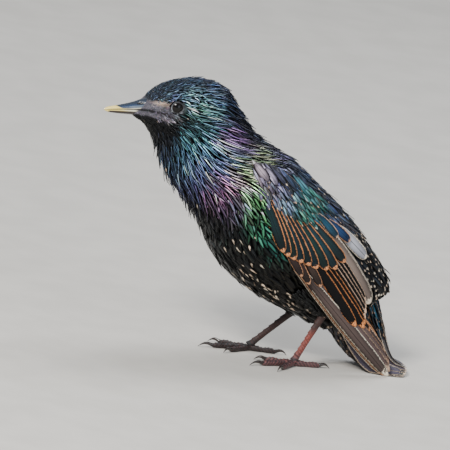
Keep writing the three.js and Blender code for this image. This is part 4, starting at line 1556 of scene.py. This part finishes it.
def thigh_coat(plan: LegPlan, finish: Finish) -> Piece:
    """Short feathers down one thigh.

    Args:
        plan: The leg.
        finish: Material of the feathers.

    Returns:
        The piece.
    """
    rng = np.random.default_rng(200 + plan.side.value)
    surface = thigh_surface(plan)
    t, q = (v.ravel() for v in np.meshgrid(np.arange(0.1, 0.92, 0.055), np.arange(0, TURN, 0.36)))
    t, q = jitter(rng, t, 0.02), jitter(rng, q, 0.15)
    ends = (t, q, np.minimum(t + 0.26, 1.06), q)
    lay = Lay.scattered(rng, ends, (1.7, 0.2), (-0.4, 0.1, 0.6), (0, 0.1), 0.05)
    grid, uv = lay.grid(surface, Kind.HACKLE.value)
    mark = np.stack([0.8 * chosen(rng, t.size, 0.16), 0 * t, rng.uniform(0.2, 0.6, t.shape)], 1)
    colour = tinted(rng, plain("#181a18", t.size), 0.3)
    batch = Batch(f"thigh_plumage_{plan.side.name.lower()}")
    batch.add(grid, uv, np.stack([0.1 + 0.8 * t, 0.1 + 0.12 * q], 1), colour, mark)
    return batch.build(finish, "thigh_feathers")


def read_points(mesh: Mesh) -> Array:
    """Reads the points of a mesh as they are stored.

    Args:
        mesh: The mesh.

    Returns:
        The points in metres.
    """
    co = np.zeros(len(mesh.vertices) * 3)
    mesh.vertices.foreach_get("co", co)
    return co.reshape(-1, 3)


def move_points(mesh: Mesh, points: Array) -> None:
    """Moves the points of a mesh to places in the bird's frame, in millimetres."""
    mesh.vertices.foreach_set("co", ((points + SHIFT) * MM).ravel())


def vertices(piece: Piece) -> Array:
    """Points of a piece in the bird's frame, in millimetres."""
    return read_points(piece.data) / MM - SHIFT


def deselect() -> None:
    """Deselects every object."""
    bpy.ops.object.select_all(action="DESELECT")


def tube(name: str, rings: Array) -> Piece:
    """Rolls a primitive grid into a tube through given rings and closes its ends.

    Args:
        name: Name of the object.
        rings: Points, shaped rings x sides x 3, in the bird's frame.

    Returns:
        The tube as an object at the origin.
    """
    deselect()
    count, sides, _ = rings.shape
    bpy.ops.mesh.primitive_grid_add(x_subdivisions=count - 1, y_subdivisions=sides, size=1)
    piece = bpy.context.object
    piece.name = name
    mesh = piece.data
    co = read_points(mesh)
    i = np.rint((co[:, 0] + 0.5) * (count - 1)).astype(int)
    j = np.rint((co[:, 1] + 0.5) * sides).astype(int) % sides
    move_points(mesh, rings[i, j])
    bpy.ops.object.mode_set(mode="EDIT")
    bpy.ops.mesh.select_all(action="SELECT")
    bpy.ops.mesh.remove_doubles(threshold=1e-7)
    bpy.ops.mesh.select_all(action="DESELECT")
    bpy.ops.mesh.select_non_manifold()
    bpy.ops.mesh.fill_holes(sides=0)
    bpy.ops.mesh.select_all(action="SELECT")
    bpy.ops.mesh.normals_make_consistent(inside=False)
    bpy.ops.object.mode_set(mode="OBJECT")
    face_out(mesh)
    mesh.shade_smooth()
    return piece


def face_out(mesh: Mesh) -> None:
    """Flips the faces of a closed mesh if they point inwards.

    Args:
        mesh: The mesh, which holds less than no volume when its faces point inwards.
    """
    mesh.calc_loop_triangles()
    corners = np.zeros(len(mesh.loop_triangles) * 3, int)
    mesh.loop_triangles.foreach_get("vertices", corners)
    a, b, c = read_points(mesh)[corners.reshape(-1, 3).T]
    if np.sum(a * np.cross(b, c)) < 0:
        mesh.flip_normals()


def fuse(main: Piece, others: list[Piece]) -> None:
    """Joins closed pieces into one closed skin.

    Args:
        main: The piece that stays.
        others: The pieces that are joined to it and removed.
    """
    deselect()
    bpy.context.view_layer.objects.active = main
    main.select_set(True)
    for other in others:
        union = main.modifiers.new("join", "BOOLEAN")
        union.operation = "UNION"
        union.solver = "MANIFOLD"
        union.object = other
        bpy.ops.object.modifier_apply(modifier=union.name)
        bpy.data.objects.remove(other)


@dataclass
class Skin:
    """The one skin of head, neck, trunk, wings, tail, thighs, shanks and toes."""

    depth: float = 1.0
    rump_depth: float = 2.6
    crease_depth: float = 0.55
    crease_width: float = 0.4
    socket_depth: float = 2.8
    lid_fold: float = 0.22
    lid_thickness: float = 0.4
    wing_depth: float = 0.35
    wing_inset: float = 0.8
    wing_back_inset: float = 2.2
    tail_share: float = 0.92
    shank_width: Table = ((0, 1.6), (0.15, 1.35), (0.4, 1.12), (0.7, 1.08), (0.9, 1.3), (1, 1.7))
    shank_depth: Table = ((0, 2.1), (0.15, 1.75), (0.4, 1.5), (0.7, 1.42), (0.9, 1.6), (1, 1.9))
    shank_scutes: float = 9.0
    shank_scute_height: float = 0.42
    toe_scutes: float = 4.0
    toe_scute_height: float = 0.38
    toe_pad: float = 0.2
    palm: float = 1.2
    scute_pitch: float = 3.7

    def trunk(self) -> Piece:
        """Head, neck and trunk, with the crease of the mouth and the eye sockets pressed in.

        Returns:
            The trunk.
        """
        t = np.concatenate([np.linspace(0, 3.2, 90, endpoint=False), np.linspace(3.2, 16.8, 80)])
        q = circle(112)
        depth = -self.depth * smooth(1.2, 4.5, t) - 0.12 - self.rump_depth * smooth(15.0, 16.8, t)
        rings = np.stack([BODY.point(np.full(q.size, a), q, float(d)) for a, d in zip(t, depth)])
        out = BODY.normal(*np.broadcast_arrays(t[:, None], q))
        crease = self.crease_depth * MARKINGS.gape(rings, self.crease_width)
        rings = rings - out * crease[..., None]
        ring = eye_distance(rings)
        fold = self.lid_fold * np.cos((ring - 3.0) * 5.2) * smooth(5.2, 3.6, ring)
        socket = fold - self.socket_depth * smooth(2.9, 2.45, ring)
        rings = rings + out * ((np.abs(rings[..., 0]) > 6) * socket)[..., None]
        return tube("bird_skin", rings)

    def wing(self, side: Side) -> Piece:
        """Core of one folded wing, under its feathers.

        Args:
            side: Which wing.

        Returns:
            The core.
        """
        rings = []
        across = 12
        for a in np.linspace(0.5, 117, 46):
            low = float(knots(WING.low, a)) + self.wing_inset
            back = self.wing_inset + self.wing_back_inset * float(smooth(6, 22, a))
            high = float(knots(WING.high, a)) - back
            b = np.concatenate([np.linspace(low, high, across), np.linspace(high, low, across)])
            inner = -1.0 - (1.6 - 0.012 * a) * np.sin(np.linspace(0, math.pi, across))
            lift = np.concatenate([np.full(across, -self.wing_depth), inner])
            rings.append(WING.point(np.full(b.size, a), b) + np.outer(lift, [1, 0, 0]))
        return tube("wing_core", np.stack(rings) * np.array([side.value, 1, 1]))

    def tail(self) -> Piece:
        """Core of the tail under its coverts, drawn to a rounded end.

        Returns:
            The core.
        """
        q = circle(40)
        share = self.tail_share
        rings = []
        for k, u in enumerate(np.linspace(0, 3.1, 24)):
            dy, dz, vy, vz, w = (float(v) for v in TAIL.station(np.array(u)))
            close = (1 - 0.014 * k) * math.sqrt(max(1 - max((u - 1.9) / 1.22, 0) ** 2, 0.01))
            c = np.cos(q) * 0.47 * close + share - 0.47 * close
            rings.append(np.stack([w * share * close * np.sin(q), vy + (dy - vy) * c, vz + (dz - vz) * c], 1))
        return tube("tail_core", np.stack(rings))

    def lid(self, side: Side) -> Piece:
        """Wrinkled ring of the eyelids round one eye.

        Args:
            side: Which eye.

        Returns:
            The ring.
        """
        deselect()
        bpy.ops.mesh.primitive_torus_add(major_radius=EYE.lid * MM, minor_radius=self.lid_thickness * MM,
                                         major_segments=72, minor_segments=16)
        ring = bpy.context.object
        across, down, out = (read_points(ring.data) / MM).T
        turn = np.arctan2(down, across)
        away = np.hypot(across, down) - EYE.lid
        swell = 1 + 0.10 * np.sin(turn * 9) * np.cos(turn * 4 + 1)
        x = EYE.x + 2.9 + out * 1.25 * swell - 0.12 * away
        y = EYE.y + (EYE.lid + away * swell) * np.cos(turn) * 1.04
        z = EYE.z + (EYE.lid + away * swell) * np.sin(turn) * 0.94
        move_points(ring.data, np.stack([side.value * x, y, z], 1))
        face_out(ring.data)
        return ring

    def shank(self, plan: LegPlan) -> Piece:
        """Shank with its overlapping scutes.

        Args:
            plan: The leg.

        Returns:
            The shank.
        """
        top, foot = plan.shank_ends()
        side, up = limb_axes(top, foot)
        q = circle(24)
        front = smooth(-0.1, 0.6, np.sin(q) * (1 if up[1] < 0 else -1))
        rings = []
        for u in np.linspace(-0.06, 1.0, 150):
            scute = self.shank_scute_height * ((u * self.shank_scutes) % 1.0) ** 1.5 * front
            x = (knots(self.shank_width, u) + scute) * np.cos(q)
            y = (knots(self.shank_depth, u) + scute) * np.sin(q)
            rings.append(top + (foot - top) * u + np.outer(x, side) + np.outer(y, up))
        return tube("shank", np.stack(rings))

    def toe(self, plan: LegPlan, name: str, angle: float, length: float) -> Piece:
        """One toe with joint pads below and scutes above.

        Args:
            plan: The leg.
            name: Which toe.
            angle: Its angle from straight ahead, in degrees.
            length: Its length with the claw.

        Returns:
            The toe, rooted in the palm.
        """
        end = length * (1 - plan.claw_share)
        joints = 3 if length > 23 else 2
        q = circle(20)
        rings = []
        for u in np.linspace(0, 1, 110):
            run = (end + self.palm) * u - self.palm
            v = max(run, 0) / end
            pad = self.toe_pad * math.cos(v * joints * TURN)
            w, h = 1.36 - 0.34 * v - pad, 2.65 - 0.6 * v - pad
            close = math.sqrt(max(1 - max((u - 0.93) / 0.075, 0) ** 2, 0.02))
            scute = self.toe_scute_height * ((v * joints * self.toe_scutes) % 1.0) ** 1.5
            scute = scute * smooth(0.0, 0.7, np.sin(q))
            x = (w * close + scute) * np.sign(np.cos(q)) * np.abs(np.cos(q)) ** 0.8
            z = np.maximum(h * 0.46 + (h * 0.54 * close + scute) * np.sin(q), 0.0)
            rings.append(plan.toe_ring(angle, run, x, z))
        return tube(f"toe_{name}", np.stack(rings))

    def colours(self, p: Array) -> tuple[Array, Array]:
        """Colours of the skin: plumage markings, bare face, lids, tail and scaled legs.

        Args:
            p: Points in the bird's frame.

        Returns:
            Colour, and the share of horn scales.
        """
        x, y, z = p.T
        bare = MARKINGS.bare(p)
        # deeper painted shade along the crease of the mouth on the bare skin
        face = MARKINGS.face(p) * (0.8 - 0.65 * MARKINGS.gape(p, 0.35))[:, None]
        colour = mixed(MARKINGS.sheen(p) * 0.12, face, bare)
        ring = eye_distance(p)
        bright = bell(ring - 3.05, 0.15) * (0.12 + 0.88 * smooth(1.2, -1.6, z - EYE.z))
        lid = mixed(linear("#15161a"), linear("#b9bec8"), bright)
        colour = mixed(colour, lid, smooth(4.2, 3.6, ring) * (np.abs(x) > 9.5))
        tail = smooth(7, 11, y) * smooth(31, 25, z) * (np.abs(x) < 11)
        colour = mixed(colour, linear("#43444b"), tail)
        leg = smooth(27.5, 25.5, z) * (np.abs(x) < 24) * self.near_leg(p)
        return mixed(colour, self.leg_colours(p), leg), np.stack([leg, bare, 0 * leg], 1)

    def leg_colours(self, p: Array) -> Array:
        """Colours of shanks and toes: the left one red, the right one darkened with painted shade, with lines
        between the scutes.

        Args:
            p: Points in the bird's frame.

        Returns:
            One colour a point.
        """
        x, _, z = p.T
        # far picks out the right leg, which is darkened below with painted shade for the shade it stands in
        far = smooth(0, -3, x)
        shank = mixed(linear("#a24c40"), linear("#3c211b"), smooth(14, 21, z))
        # painted shade on the right shank
        shank = mixed(shank, linear("#2a1a18"), far * 0.9)
        # painted shade darkens the right foot
        foot = mixed(linear("#553c40"), linear("#1d1819"), far)
        skin = mixed(shank, foot, smooth(8.5, 3.5, z))
        wave = np.sin((self.along_toes(p) + 0.9 * z) * self.scute_pitch)
        # painted shade dims the pale scute lines of the right leg
        pale = linear("#9a5a54") * (1 - 0.75 * far[:, None])
        skin = mixed(skin, pale, 0.6 * smooth(0.1, 0.9, wave) * smooth(16, 10, z))
        return mixed(skin, skin * 0.35, smooth(-0.2, -0.95, wave) * smooth(20, 12, z))

    def along_toes(self, p: Array) -> Array:
        """Distance of points from the middle of the foot they are nearest to."""
        return np.minimum(*(np.hypot(p[:, 0] - plan.foot[0], p[:, 1] - plan.foot[1]) for plan in LEGS))

    def near_leg(self, p: Array) -> Array:
        """Tells which points lie on a shank or toe.

        Args:
            p: Points in the bird's frame.

        Returns:
            1 for each point that does, or else 0.
        """
        found = np.zeros(len(p))
        for plan in LEGS:
            top, foot = plan.shank_ends()
            u = np.clip(((p - top) @ (foot - top)) / ((foot - top) @ (foot - top)), 0, 1)
            far = np.linalg.norm(p - top - u[:, None] * (foot - top), axis=1)
            flat = np.hypot(p[:, 0] - plan.foot[0], p[:, 1] - plan.foot[1])
            found = np.maximum(found, (far < 3.2) | (p[:, 2] < 3.4) & (flat < 22))
        return found

    def thigh(self, plan: LegPlan) -> Piece:
        """Core of one thigh, drawn in where it meets the trunk.

        Args:
            plan: The leg.

        Returns:
            The core.
        """
        surface = thigh_surface(plan)
        q = circle(32)
        rings = [surface.point(np.full(q.size, u), q, -0.5 - 5.0 * float(smooth(0.3, 0.0, u)))
                 for u in np.linspace(0, 0.99, 30)]
        return tube("thigh", np.stack(rings))

    def build(self, finish: Finish) -> Piece:
        """Fuses every part of the skin, colours it and lets it replace the nodes of flesh.

        Args:
            finish: Material of the skin.

        Returns:
            The skin.
        """
        main = self.trunk()
        parts = [self.wing(side) for side in Side] + [self.tail()]
        for plan in LEGS:
            parts += [self.thigh(plan), self.shank(plan)] + [self.toe(plan, *toe) for toe in plan.toes]
        parts += [self.lid(side) for side in Side]
        fuse(main, parts)
        colour, mark = self.colours(vertices(main))
        paint(main.data, "sheen", colour)
        paint(main.data, "mark", mark)
        place(main, finish)
        limbs = ("wing", "thigh", "tarsus", "toe_inner", "toe_middle", "toe_outer", "toe_hind")
        pairs = [f"{name}_{side}" for name in limbs for side in ("left", "right")]
        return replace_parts(main, "head", "neck", "torso", "tail", *pairs)


@dataclass
class Bill:
    """Upper and lower bill through stations: y, top, mouth line, underside, half width."""

    stations: Table = (
        (-112.3, 113.3, 112.85, 112.45, 0.45), (-110.6, 114.3, 113.2, 111.85, 1.0),
        (-107.5, 115.15, 113.75, 111.6, 1.6), (-104.0, 116.2, 114.3, 111.6, 2.2),
        (-100.5, 117.3, 114.75, 111.7, 2.9), (-97.6, 118.4, 115.1, 111.75, 3.5),
        (-94.0, 120.0, 115.6, 111.7, 4.1), (-91.0, 121.0, 116.0, 111.9, 4.4))
    sides: int = 44
    gap: float = 0.12
    nostril: tuple[float, float] = (-95.4, 118.1)
    nostril_slope: float = 0.22
    lid_height: float = 0.95
    trim_at: Point = (0, -94.6, 116.0)
    trim_facing: Point = (0, 0.8, -0.6)

    def half(self, upper: bool) -> Piece:
        """Builds one half of the bill with a ridged top and a sharp cutting edge.

        Args:
            upper: Which half.

        Returns:
            The half.
        """
        rows = np.array(self.stations)
        tip = -112.3 + 1.6 * np.linspace(0, 1, 12, endpoint=False) ** 1.5
        y = np.concatenate([tip, np.linspace(-110.7, -91.2, 120)])
        top, mouth, low, wide = (knots(rows[:, (0, k)], y) for k in (1, 2, 3, 4))
        q = np.linspace(0, math.pi, self.sides)
        flat = 0.9 * np.linspace(-1, 1, 8)[1:-1]
        rings = []
        for k in range(len(y)):
            edge = mouth[k] + (self.gap if upper else -self.gap)
            height = (top[k] if upper else low[k]) - edge
            w = wide[k] * (1.0 if upper else 0.93)
            x = np.concatenate([w * np.cos(q) * (1 - 0.12 * np.sin(q) ** 2), w * flat])
            z = np.concatenate([edge + height * np.sin(q) ** 0.82, np.full(flat.size, edge + height * 0.10)])
            rings.append(np.stack([x, np.full_like(x, y[k]), z], 1))
        grid = np.stack(rings)
        if upper:
            grid = self.press_nostrils(grid)
        piece = tube("bill_top" if upper else "bill_under", grid)
        self.trim(piece)
        return piece

    def from_nostril(self, y: Array, z: Array, rise: float = 0.0) -> tuple[Array, Array]:
        """Distances along and across the sloping slit of the nostril, or of a line above it."""
        along = y - self.nostril[0]
        return along, z - self.nostril[1] - rise - self.nostril_slope * along

    def press_nostrils(self, grid: Array) -> Array:
        """Presses a slit with a raised lid above it into both sides of the upper bill.

        Args:
            grid: Rings of the upper bill.

        Returns:
            The rings with both slits.
        """
        along, across = self.from_nostril(grid[..., 1], grid[..., 2])
        _, over = self.from_nostril(grid[..., 1], grid[..., 2], self.lid_height)
        push = 0.2 * bell(along, 2.3) * bell(over, 0.4) - 0.7 * bell(along, 1.9) * bell(across, 0.5)
        grid[..., 0] += np.sign(grid[..., 0]) * push * (np.abs(grid[..., 0]) > 0.9)
        return grid

    def trim(self, piece: Piece) -> None:
        """Cuts the bill off along the front of the face feathers.

        Args:
            piece: The half that is cut.
        """
        plane = (np.array(self.trim_at) + SHIFT) * MM
        bpy.ops.object.mode_set(mode="EDIT")
        bpy.ops.mesh.select_all(action="SELECT")
        bpy.ops.mesh.bisect(plane_co=plane.tolist(), plane_no=self.trim_facing, use_fill=True,
                            clear_outer=True)
        bpy.ops.object.mode_set(mode="OBJECT")
        piece.data.shade_smooth()

    def colours(self, p: Array, upper: bool) -> Array:
        """Colours of the horn: blue grey ridge, cream cutting edges, dark underside, painted shade along the
        mouth line and in the nostril.

        Args:
            p: Points in the bird's frame.
            upper: Which half.

        Returns:
            One colour a point.
        """
        rows = np.array(self.stations)
        y, z = p[:, 1], p[:, 2]
        top, mouth, low = (np.interp(y, rows[:, 0], rows[:, k]) for k in (1, 2, 3))
        share = (z - mouth) / (top - mouth) if upper else (mouth - z) / (mouth - low)
        if upper:
            body = mixed(linear("#223a5c"), linear("#27303d"), smooth(0.5, 0.95, share))
            body = mixed(body, linear("#4b5c70"), smooth(0.62, 0.5, share) * smooth(-105, -97, y))
            limit = 0.2 + 0.85 * smooth(-103.5, -107.5, y)
            pale = smooth(limit + 0.08, limit - 0.04, share)
        else:
            body = mixed(linear("#2a1c17"), linear("#6d7280"), smooth(-99, -94, y) * smooth(0.95, 0.6, share))
            pale = smooth(0.42, 0.28, share) * smooth(-95.5, -98.5, y) + smooth(-109.5, -111.0, y)
        horn = mixed(linear("#f2dc80"), linear("#ddd8c0"), smooth(-106, -99, y))
        colour = mixed(body, horn, np.clip(pale, 0, 1))
        # painted shade in the gap along the mouth line, where the halves meet
        colour = mixed(colour, linear("#231416"), smooth(0.16, 0.06, share) * smooth(-111.5, -109, y))
        along, across = self.from_nostril(y, z)
        # painted shade in the nostril's slit
        slit = np.hypot(along / 2.0, across / 0.5)
        return mixed(colour, linear("#070505"), smooth(1.05, 0.8, slit) * float(upper))

    def build(self) -> None:
        """Builds and places both halves."""
        finish = HornFinish("bill_horn", 0.28).material()
        for upper, node in ((True, "bill_upper"), (False, "bill_lower")):
            piece = self.half(upper)
            paint(piece.data, "sheen", self.colours(vertices(piece), upper))
            place(piece, finish)
            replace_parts(piece, node)


def eyeball(side: Side, finish: Finish) -> Piece:
    """One eye: a ball with a bulged cornea.

    Args:
        side: Which side of the head.
        finish: Material of the eye.

    Returns:
        The eye.
    """
    deselect()
    bpy.ops.mesh.primitive_uv_sphere_add(segments=64, ring_count=40, radius=EYE.radius * MM)
    ball = bpy.context.object
    ball.name = f"eyeball_{side.name.lower()}"
    across, up, out = (read_points(ball.data) / MM).T
    away = np.hypot(across, up)
    out = out * (1 + 0.045 * bell(away, 1.9) * (out > 0))
    move_points(ball.data, np.stack([side.value * (EYE.x + out), EYE.y + across, EYE.z + up], 1))
    face_out(ball.data)
    ball.data.shade_smooth()
    front = np.where(out > 0, away / 3.0, 1.2)
    paint(ball.data, "mark", np.stack([front, 0 * front, 0 * front], 1))
    place(ball, finish)
    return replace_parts(ball, f"eye_{side.name.lower()}")


def claws(plan: LegPlan, finish: Finish) -> Piece:
    """The four curved claws of one foot as one piece.

    Args:
        plan: The leg.
        finish: Material of the claws.

    Returns:
        The piece.
    """
    made = []
    q = circle(14)
    for name, angle, length in plan.toes:
        claw = length * plan.claw_share
        rings = []
        for u in np.linspace(-0.12, 1, 26):
            v = max(u, 0)
            run = length - claw + 0.2 + claw * 1.04 * u
            rise = 0.3 + 1.5 * math.sin(v * math.pi * 0.72) - 1.9 * v * v
            h, w = 1.75 * (1 - v) ** 0.75 + 0.12, 0.72 * (1 - v) ** 0.8 + 0.05
            z = np.maximum(rise + h * 0.5 + h * 0.5 * np.sin(q), 0.02)
            rings.append(plan.toe_ring(angle, run, w * np.cos(q), z))
        made.append(tube(f"claw_{name}", np.stack(rings)))
    deselect()
    for piece in made:
        piece.select_set(True)
    bpy.context.view_layer.objects.active = made[0]
    bpy.ops.object.join()
    piece = made[0]
    piece.name = f"claws_{plan.side.name.lower()}"
    high = smooth(0.2, 1.8, vertices(piece)[:, 2])
    paint(piece.data, "sheen", mixed(linear("#0d0a0a"), linear("#2a201d"), high))
    place(piece, finish)
    names = [f"claw_{name}_{plan.side.name.lower()}" for name, _, _ in plan.toes]
    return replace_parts(piece, *names)


@dataclass
class Studio:
    """Pale floor, soft lights and the camera at the photograph's angle."""

    turn: float = 72.0
    elevation: float = 12.0
    roll: float = 10.0
    distance: float = 8.0
    frame_width: float = 0.216
    sensor: float = 36.0
    depth: float = 35.0
    aim: tuple[float, float] = (-40.2, 58.6)
    lit: Point = (0, 0, 0.07)

    def camera(self) -> None:
        """Sets the camera, far off, tipped so that the floor falls to the right."""
        a, e, r = (math.radians(v) for v in (self.turn, self.elevation, self.roll))
        back = Vector((math.sin(a) * math.cos(e), -math.cos(a) * math.cos(e), math.sin(e)))
        right = Vector((math.cos(a), math.sin(a), 0))
        up = back.cross(right)
        centre = Vector(SHIFT) * MM + (right * self.aim[0] + up * self.aim[1] + back * self.depth) * MM
        bpy.ops.object.camera_add(location=centre + back * self.distance)
        camera = bpy.context.object
        tipped_right = right * math.cos(r) + up * math.sin(r)
        tipped_up = up * math.cos(r) - right * math.sin(r)
        camera.rotation_mode = "QUATERNION"
        camera.rotation_quaternion = Matrix((tipped_right, tipped_up, back)).transposed().to_quaternion()
        camera.data.sensor_width = self.sensor
        camera.data.lens = self.sensor * self.distance / self.frame_width
        camera.data.clip_end = 100.0
        bpy.context.scene.camera = camera

    def floor(self) -> None:
        """Adds the pale floor."""
        deselect()
        bpy.ops.mesh.primitive_plane_add(size=60, location=(0, 0, -0.0002))
        floor = bpy.context.object
        floor.name = "studio_floor"
        g = Graph("studio_floor")
        grain = g.noise(40.0, 4.0)
        colour = g.blend(grain.ease(0.3, 0.7), rgba("#cdc9c2"), rgba("#c6c2bb"))
        floor.data.materials.append(g.finish(Base_Color=colour, Roughness=0.75))

    def light(self, name: str, place_at: Point, power: float, size: float, colour: Point) -> None:
        """Adds one soft area light that faces the bird.

        Args:
            name: Name of the light.
            place_at: Its place in metres.
            power: Its power in watts.
            size: Its width in metres.
            colour: Its colour.
        """
        bpy.ops.object.light_add(type="AREA", location=place_at)
        lamp = bpy.context.object
        lamp.name = name
        lamp.data.energy = power
        lamp.data.size = size
        lamp.data.color = colour
        lamp.rotation_mode = "QUATERNION"
        lamp.rotation_quaternion = (Vector(place_at) - Vector(self.lit)).to_track_quat("Z", "Y")

    def build(self) -> None:
        """Sets up the whole studio."""
        self.camera()
        self.floor()
        self.light("key", (0.9, -0.75, 1.05), 30.0, 0.35, (1.0, 0.98, 0.94))
        self.light("fill", (1.3, 0.7, 0.5), 7.0, 1.0, (0.86, 0.93, 1.0))
        self.light("rim", (-0.5, 0.5, 1.1), 12.0, 0.6, (0.95, 0.97, 1.0))
        world = bpy.data.worlds.new("soft_sky")
        world.use_nodes = True
        world.node_tree.nodes["Background"].inputs[0].default_value = (0.78, 0.84, 0.92, 1)
        world.node_tree.nodes["Background"].inputs[1].default_value = 0.45
        bpy.context.scene.world = world


def main() -> None:
    """Builds the studio, the skin, the plumage, the bill, the eyes and the claws."""
    logging.basicConfig(level=logging.INFO, format="%(message)s")
    Studio().build()
    Skin().build(SkinFinish().material())
    looks = (
        PlumageFinish("face_bristle", core=1.7, metallic=0.1, roughness=0.45),
        PlumageFinish("head_gloss", core=0.52, metallic=0.45, roughness=0.36),
        PlumageFinish("hackle_gloss", core=0.46, metallic=0.6, roughness=0.3),
        PlumageFinish("body_gloss", core=0.75, metallic=0.45, tip=0.84, spot=0.9),
        PlumageFinish("belly_gloss", core=0.7, metallic=0.4, tip=0.74, spot=0.5, specular=0.3),
        PlumageFinish("shoulder_gloss", core=0.95, metallic=0.45, tip=0.9, spot=0.9, deep=0.5),
        PlumageFinish("quill_gloss", core=1.6, metallic=0.12, roughness=0.42, shaft=0.9, barbs=46, rim=0.82,
                      tip=0.95, deep=0.35, specular=0.15),
        PlumageFinish("covert_gloss", core=1.1, metallic=0.4, shaft=0.7, barbs=30, tip=0.93, deep=0.6,
                      specular=0.3))
    face, small, hackle, body, belly, shoulder, quill, covert = (look.material() for look in looks)
    coat = BodyCoat()
    coat.piece("face_bristles", (0.1, 3.4), Kind.SCALE, face, "head_feathers", Region.FACE)
    coat.piece("head_plumage", (0.12, 4.3), Kind.SCALE, small, "head_feathers", Region.CAP)
    coat.piece("neck_hackles", (4.3, 8.3), Kind.HACKLE, hackle, "neck_feathers")
    coat.piece("back_plumage", (8.3, 16.95), Kind.BODY, body, "body_feathers", Region.UPPER)
    coat.piece("breast_plumage", (8.3, 16.7), Kind.BODY, belly, "body_feathers", Region.LOWER)
    for side in Side:
        WingCoat(side).build(quill, covert, shoulder)
    tail = TailCoat()
    tail.feathers(quill)
    tail.coverts(body)
    horn = HornFinish("claw_horn", 0.26).material()
    for plan in LEGS:
        thigh_coat(plan, body)
        claws(plan, horn)
    eye = EyeFinish().material()
    for side in Side:
        eyeball(side, eye)
    Bill().build()
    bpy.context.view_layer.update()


if __name__ == "__main__":
    main()
